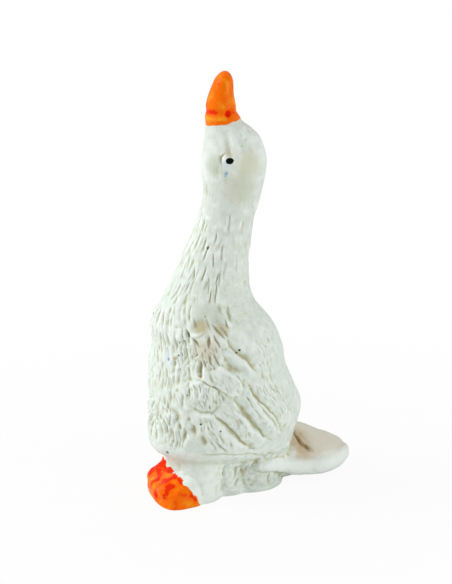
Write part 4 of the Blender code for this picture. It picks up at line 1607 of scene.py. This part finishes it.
    def root_crease_marks(self, points: np.ndarray) -> tuple[np.ndarray, np.ndarray]:
        """The dark brown line in the crease at the tail's root, and the tan band about it."""
        flank = eased(2.0, 4.0, np.abs(points[:, 0]))
        beside = points[:, 1:] + self.crease_sway.at(points)[:, None]
        root_crease_brown = channel_cut(beside, self.root_crease_brown) * (0.85 + self.crease_mottle.at(points))
        root_crease_tan = channel_cut(beside, replace(self.root_crease_brown, half_width=self.tan_half_width))
        return root_crease_brown * flank, root_crease_tan * flank * (0.8 + self.tan_mottle.at(points))

    def painted_highlight(self, points: np.ndarray, leg: np.ndarray) -> np.ndarray:
        """Where a painted highlight makes the paint pale: over the tail's bolsters, and less on the legs."""
        x, y, z = points.T
        aside, height, radius = self.tail.bolster_at(y)
        bolster = 1.0 - eased(0.0, 1.0, np.hypot(np.abs(x) - aside, z - height) - radius)
        return np.maximum(bolster * eased(5.0, 8.0, y), self.leg_highlight * leg)

    def masks(
        self, points: np.ndarray, head: np.ndarray, hollow: np.ndarray, fine_hollow: np.ndarray
    ) -> dict[str, np.ndarray]:
        """Each mask at each point: distances inside the orange and the eye in millimetres, and shares.

        Args:
            points: The points of the finished mesh, in millimetres.
            head: The same points with the head's turn undone.
            hollow: How deep each point lies below the smoothed surface.
            fine_hollow: The same below a surface smoothed less.

        Returns:
            The masks by their names.
        """
        bill = points[:, 2] - self.bill_border - self.bill_slope * head[:, 1]
        foot = self.foot_inside(points)
        leg = (1.0 - eased(9.0, 11.0, points[:, 2])) * (1.0 - eased(-4.0, 0.0, points[:, 1]))
        root_crease_brown, root_crease_tan = self.root_crease_marks(points)
        return {
            "root_crease_brown": root_crease_brown,
            "root_crease_tan": root_crease_tan,
            # The painted highlight lightens the crests' wash on the bolsters and legs.
            "fine_hollow": fine_hollow - self.highlight_strength * self.painted_highlight(points, leg),
            "orange_inside": np.maximum(bill * self.bill_neatness, foot),
            "eye_inside": self.eye_inside(points, head),
            "tail_top": self.tail_top(points),
            "red_patch": self.redness(points, head, foot),
            # The hollows' yellow and painted shade are mostly taken off the legs.
            "hollow": hollow * (1.0 - (1.0 - self.leg_hollow_share) * leg),
        }


@dataclass(frozen=True)
class Goose:
    """The goose: its closed shells, its carving, its paint, and how finely its one skin is made."""

    trunk: Trunk
    core: LevelLoft
    rump: LevelLoft
    thigh: LevelLoft
    foot: LevelLoft
    tail: Tail
    carvings: tuple[Carving, ...]
    brushwork: Brushwork
    painting: HandPainting
    leg_side: float = 4.0
    thigh_shares: tuple[float, ...] = (-1.0, -0.5, 0.0, 0.5, 1.0)
    chart_radius: float = 16.5
    cell: float = 0.22
    smoothing: int = 22
    spare: float = 0.4
    triangles: int = 193000
    hollow_passes: int = 16
    fine_passes: int = 4

    def shells(self) -> list[tuple[np.ndarray, np.ndarray]]:
        """Every closed shell, with that of the thigh on each side and three times between them."""
        found = [form.shell() for form in (self.trunk, self.core, self.rump)]
        found += [self.tail.slab(), self.foot.shell()]
        found += [self.tail.roll(side) for side in Side]
        found += [replace(self.thigh, aside=share * self.leg_side).shell() for share in self.thigh_shares]
        return found

    def fused(self) -> bpy.types.Mesh:
        """One skin over all the shells, evened out where they meet.

        Returns:
            The skin's mesh.
        """
        shells = self.shells()
        starts = np.cumsum([0] + [len(points) for points, _ in shells[:-1]])
        points = np.concatenate([points for points, _ in shells]) * MM
        faces = np.concatenate([faces + start for (_, faces), start in zip(shells, starts)])
        mesh = bpy.data.meshes.new("shells")
        mesh.from_pydata(points.tolist(), [], faces.tolist())
        return applied(mesh, [
            ("REMESH", {"mode": "VOXEL", "voxel_size": self.cell * MM}),
            ("SMOOTH", {"factor": 0.5, "iterations": self.smoothing}),
        ])

    def piece(self) -> bpy.types.Object:
        """Build the piece: fuse, carve, thin, cut off flat, and paint.

        Returns:
            The painted goose.
        """
        mesh = cut_level(self.fused(), -self.spare, False)
        skin = Skin(mesh, self.trunk, self.chart_radius)
        skin.moved(sum(carving.relief(skin) for carving in self.carvings))
        mesh.calc_loop_triangles()
        share = self.triangles / len(mesh.loop_triangles)
        LOG.info("carved %d triangles", len(mesh.loop_triangles))
        mesh = applied(mesh, [("DECIMATE", {"ratio": min(share, 1.0), "use_collapse_triangulate": True})])
        mesh = cut_level(mesh, 0.0, True)
        finished = Skin(mesh, self.trunk, self.chart_radius)
        depths = (hollowness(finished, passes) for passes in (self.hollow_passes, self.fine_passes))
        masks = self.brushwork.masks(finished.points, finished.head, *depths)
        for name, values in masks.items():
            mesh.attributes.new(name, "FLOAT", "POINT").data.foreach_set("value", values.astype(np.float32))
        mesh.name = "painted_goose"
        mesh.materials.clear()
        mesh.materials.append(self.painting.material())
        goose = bpy.data.objects.new("painted_goose", mesh)
        bpy.context.scene.collection.objects.link(goose)
        return goose


def applied(mesh: bpy.types.Mesh, steps: list[tuple[str, dict[str, object]]]) -> bpy.types.Mesh:
    """The mesh with modifiers applied.

    Args:
        mesh: The mesh to change.
        steps: Each modifier's type and its settings.

    Returns:
        A new mesh.
    """
    bench = bpy.data.objects.new("bench", mesh)
    bpy.context.scene.collection.objects.link(bench)
    for kind, settings in steps:
        modifier = bench.modifiers.new(kind, kind)
        for name, value in settings.items():
            setattr(modifier, name, value)
    graph = bpy.context.evaluated_depsgraph_get()
    made = bpy.data.meshes.new_from_object(bench.evaluated_get(graph))
    bpy.data.objects.remove(bench, do_unlink=True)
    bpy.data.meshes.remove(mesh)
    return made


def cut_level(mesh: bpy.types.Mesh, level: float, capped: bool) -> bpy.types.Mesh:
    """Cut off what lies below a level.

    Args:
        mesh: The mesh, which is changed.
        level: The height of the cut in millimetres.
        capped: Whether the cut is closed with a flat face.

    Returns:
        The same mesh.
    """
    work = bmesh.new()
    work.from_mesh(mesh)
    geometry = [*work.verts, *work.edges, *work.faces]
    cut = bmesh.ops.bisect_plane(
        work, geom=geometry, dist=1e-8, plane_co=(0, 0, level * MM), plane_no=(0, 0, 1), clear_inner=True
    )
    for face in work.faces:
        face.smooth = True
    if capped:
        edges = [item for item in cut["geom_cut"] if isinstance(item, bmesh.types.BMEdge)]
        filled = bmesh.ops.triangle_fill(work, edges=edges, use_beauty=True, normal=(0, 0, -1))
        for item in filled["geom"]:
            if isinstance(item, bmesh.types.BMFace):
                item.smooth = False
                if item.normal.z > 0:
                    item.normal_flip()
        for edge in edges:
            edge.smooth = False
    work.to_mesh(mesh)
    work.free()
    mesh.update()
    return mesh


def hollowness(skin: Skin, passes: int) -> np.ndarray:
    """How far each point lies below the skin's own smoothed surface, (s - p).n, in millimetres.

    The smoothed surface s comes from replacing each point by the mean of its neighbours, again and again.

    Args:
        skin: The finished skin.
        passes: How often the points are averaged.

    Returns:
        The depth at each point, negative on ridges.
    """
    points, count = skin.points, len(skin.points)
    ends = np.empty(len(skin.mesh.edges) * 2, np.int32)
    skin.mesh.edges.foreach_get("vertices", ends)
    first, second = ends.reshape(-1, 2).T
    here, there = np.concatenate([first, second]), np.concatenate([second, first])
    neighbours = np.maximum(np.bincount(here, minlength=count), 1)
    smooth = points.copy()
    for _ in range(passes):
        smooth = np.stack(
            [np.bincount(here, smooth[there, axis], count) / neighbours for axis in range(3)], axis=-1
        )
    depth = ((smooth - points) * skin.normals).sum(axis=1)
    return np.where(points[:, 2] < NEAR_FLOOR, 0.0, depth)


@dataclass(frozen=True)
class Lamp:
    """A soft square lamp: where it stands, by right, up and back from the target, its size and its power."""

    name: str
    place: tuple[float, float, float]
    size: float
    power: float


@dataclass(frozen=True)
class Studio:
    """A plain pale floor, a soft lamp on each side, the brighter one above the left, and a white world."""

    azimuth: float = math.radians(60)
    elevation: float = math.radians(15)
    distance: float = 0.420
    target: tuple[float, float, float] = (0.35, 0.6, 48.0)
    lens: float = 110.55
    floor_radius: float = 0.70
    floor_rings: int = 24
    floor_sides: int = 96
    floor_color: str = "#E9E9E7"
    shaded_within: float = 0.03
    plain_from: float = 0.16
    shaded_share: float = 0.93
    fill: float = 0.59
    lamps: tuple[Lamp, ...] = (
        Lamp("left_soft_box", (-0.40, 0.28, 0.10), 0.26, 1.42),
        Lamp("right_soft_box", (0.40, -0.03, 0.16), 0.16, 0.55),
    )

    def axes(self) -> tuple[Vector, Vector, Vector]:
        """The camera's right, up and back directions."""
        sine, cosine = math.sin(self.azimuth), math.cos(self.azimuth)
        low, high = math.cos(self.elevation), math.sin(self.elevation)
        back = Vector((sine * low, -cosine * low, high))
        right = Vector((cosine, sine, 0.0))
        return right, back.cross(right), back

    def placed(self, item: bpy.types.Object, place: Vector, axes: tuple[Vector, Vector, Vector]) -> None:
        """Put a camera or lamp at a place, facing against the last of the axes."""
        turn = Matrix([list(axis) for axis in axes]).transposed().to_4x4()
        item.matrix_world = Matrix.Translation(place) @ turn
        bpy.context.scene.collection.objects.link(item)

    def camera(self) -> None:
        """Add the camera that matches the photo."""
        right, up, back = self.axes()
        data = bpy.data.cameras.new("camera")
        data.lens = self.lens
        data.clip_start = 0.01
        camera = bpy.data.objects.new("camera", data)
        self.placed(camera, Vector(self.target) * MM + back * self.distance, (right, up, back))
        bpy.context.scene.camera = camera

    def light(self, lamp: Lamp) -> None:
        """Add a soft lamp that faces the target."""
        right, up, back = self.axes()
        way = right * lamp.place[0] + up * lamp.place[1] + back * lamp.place[2]
        data = bpy.data.lights.new(lamp.name, "AREA")
        data.energy = lamp.power
        data.size = lamp.size
        facing = way.normalized()
        across = Vector((0.0, 0.0, 1.0)).cross(facing).normalized()
        item = bpy.data.objects.new(lamp.name, data)
        self.placed(item, Vector(self.target) * MM + way, (across, facing.cross(across), facing))

    def world(self) -> None:
        """Fill light from all round, which the camera sees as plain white, straight or through something."""
        world = bpy.data.worlds.new("white_room")
        world.use_nodes = True
        tree = world.node_tree
        tree.nodes.clear()
        camera = add_node(tree, "ShaderNodeLightPath", {}, "Is Camera Ray")
        paths = camera.node
        seen = add_node(tree, "ShaderNodeMath", {0: camera, 1: paths.outputs["Is Transmission Ray"]},
                        operation="MAXIMUM")
        strength = add_node(tree, "ShaderNodeMapRange", {"Value": seen, "To Min": self.fill, "To Max": 1.0})
        light = add_node(tree, "ShaderNodeBackground", {"Color": (1.0, 1.0, 1.0, 1.0), "Strength": strength})
        tree.links.new(light, tree.nodes.new("ShaderNodeOutputWorld").inputs["Surface"])
        bpy.context.scene.world = world

    def floor(self) -> bpy.types.Object:
        """A round floor whose seen colour goes to plain white outwards, and which keeps the shadow.

        Returns:
            The floor.
        """
        radii = np.linspace(0.0, 1.0, self.floor_rings)[1:] ** 1.5 * self.floor_radius
        angles = np.linspace(0.0, 2 * np.pi, self.floor_sides, endpoint=False)
        x = radii[:, None] * np.cos(angles)
        y = radii[:, None] * np.sin(angles)
        rings = np.stack([x, y, np.zeros_like(x)], axis=-1)
        points = np.concatenate([rings.reshape(-1, 3), [[0.0, 0.0, 0.0]]])
        index = np.arange(x.size).reshape(x.shape)
        beside = np.roll(index, -1, axis=1)
        sides = np.stack([index[:-1], index[1:], beside[1:], beside[:-1]], axis=-1).reshape(-1, 4)
        middle = np.stack([index[0], beside[0], np.full(len(angles), x.size)], axis=-1)
        mesh = bpy.data.meshes.new("floor")
        mesh.from_pydata(points.tolist(), [], sides.tolist() + middle.tolist())
        mesh.materials.append(self.floor_material())
        floor = bpy.data.objects.new("floor", mesh)
        bpy.context.scene.collection.objects.link(floor)
        return floor

    def floor_material(self) -> bpy.types.Material:
        """Matt pale board, seen as white paper away from the goose."""
        made = bpy.data.materials.new("matt_white_board")
        made.use_nodes = True
        tree = made.node_tree
        tree.nodes.clear()
        board = add_node(tree, "ShaderNodeBsdfDiffuse", {"Color": linear(self.floor_color)})
        white = add_node(tree, "ShaderNodeEmission", {"Color": (1.0, 1.0, 1.0, 1.0), "Strength": 1.0})
        place = add_node(tree, "ShaderNodeTexCoord", {}, "Object")
        away = add_node(tree, "ShaderNodeVectorMath", {0: place}, "Value", operation="LENGTH")
        share = add_node(tree, "ShaderNodeMapRange", {"Value": away, "From Min": self.shaded_within,
                                                      "From Max": self.plain_from,
                                                      "To Min": self.shaded_share, "To Max": 1.0})
        camera = add_node(tree, "ShaderNodeLightPath", {}, "Is Camera Ray")
        share = add_node(tree, "ShaderNodeMath", {0: share, 1: camera}, operation="MULTIPLY")
        mixed = add_node(tree, "ShaderNodeMixShader", {0: share, 1: board, 2: white})
        tree.links.new(mixed, tree.nodes.new("ShaderNodeOutputMaterial").inputs["Surface"])
        return made


SPECKS_AND_PAINTED_LIGHT = table(
    Speck,
    # A painted highlight beside the eye, in bluish white.
    ((5.5, -2.2, 79.2), 1.9, "#E6F2F4", 0.80),
    # Painted shade behind and below the eye, and on the cheek in front of it.
    ((7.4, 2.4, 79.4), 4.2, "#D6D7BC", 0.70),
    ((6.9, 1.5, 74.0), 4.8, "#D0D5C0", 0.60),
    ((3.3, -4.4, 79.1), 3.2, "#CBD2BF", 0.65),
    # Painted shade over the shoulder.
    ((11.3, -10.0, 45.8), 5.0, "#C4CABA", 0.60),
    ((5.5, -2.3, 77.4), 0.50, "#6AA6D0", 0.80),
    ((5.4, -2.5, 76.8), 0.40, "#7FB4DA", 0.70),
    ((6.6, -15.5, 36.6), 0.34, "#1B1E17", 0.95),
    ((15.1, -4.4, 38.4), 0.42, "#14170F", 0.95),
    ((14.8, -5.0, 37.8), 0.34, "#2A2E20", 0.85),
    ((12.0, -12.8, 21.1), 0.36, "#1D211B", 0.95),
    ((15.0, -9.3, 19.7), 0.30, "#1D211B", 0.90),
    ((14.8, -6.0, 18.6), 0.26, "#4A4C3E", 0.70),
    ((9.7, -10.3, 45.9), 0.26, "#55584C", 0.70),
    ((9.0, 10.2, 37.5), 0.32, "#3C3F36", 0.80),
    ((9.5, -14.9, 27.7), 0.28, "#55584C", 0.75),
    ((-5.7, -15.4, 43.6), 0.38, "#3B3F3A", 0.80),
    ((2.9, -16.4, 35.5), 2.4, "#EAF4F3", 0.75),
    ((3.3, -16.3, 34.9), 0.50, "#6D93C4", 0.80),
    ((5.5, -16.0, 35.7), 0.75, "#BFA978", 0.75),
    ((-1.1, -17.5, 28.0), 0.95, "#E2BE9C", 0.60),
    ((4.5, -17.5, 12.8), 0.55, "#2F5550", 0.85),
    ((17.2, -3.1, 28.4), 0.70, "#B9CFE4", 0.55),
    ((11.3, -13.4, 31.2), 0.60, "#C9DCEA", 0.60),
    ((11.8, -12.7, 32.5), 0.60, "#A8794A", 0.80),
    ((4.4, -6.5, 60.3), 0.48, "#2D3A36", 0.90),
    # Painted shade, brownish, in the recesses at the top of the wing.
    ((10.3, -11.6, 43.6), 2.3, "#BFB48C", 0.85),
    ((13.2, -7.7, 43.1), 2.2, "#C3BA96", 0.75),
    ((12.4, -11.7, 38.7), 4.4, "#D6CBB0", 0.55),
)


def main() -> None:
    """Build the goose and the studio, and report them."""
    logging.basicConfig(level=logging.INFO, format="%(message)s")
    tail = Tail(TAIL_CUTS, BOLSTER_RINGS)
    goose = Goose(
        trunk=Trunk(SECTIONS),
        core=LevelLoft(CORE_SECTIONS),
        rump=LevelLoft(RUMP_SECTIONS),
        thigh=LevelLoft(THIGH_SECTIONS),
        foot=LevelLoft(FOOT_SECTIONS, slant=0.2, corner=0.66),
        tail=tail,
        carvings=(
            WingCarving(WING_OUTLINE, FEATHERS, RIDGES, CHANNELS, HATCHINGS),
            PlumageStrokes(),
            FaceCarving(),
            TailCarving(),
            FootCarving(),
            CastingLumps(tail),
        ),
        brushwork=Brushwork(tail),
        painting=HandPainting(specks_and_painted_light=SPECKS_AND_PAINTED_LIGHT),
    )
    piece = goose.piece()
    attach(piece, "root")
    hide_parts(NODE)
    LOG.info("%s: %d faces", piece.name, len(piece.data.polygons))
    studio = Studio()
    studio.floor()
    for lamp in studio.lamps:
        studio.light(lamp)
    studio.world()
    studio.camera()
    bpy.context.scene.view_settings.view_transform = "Standard"


if __name__ == "__main__":
    main()
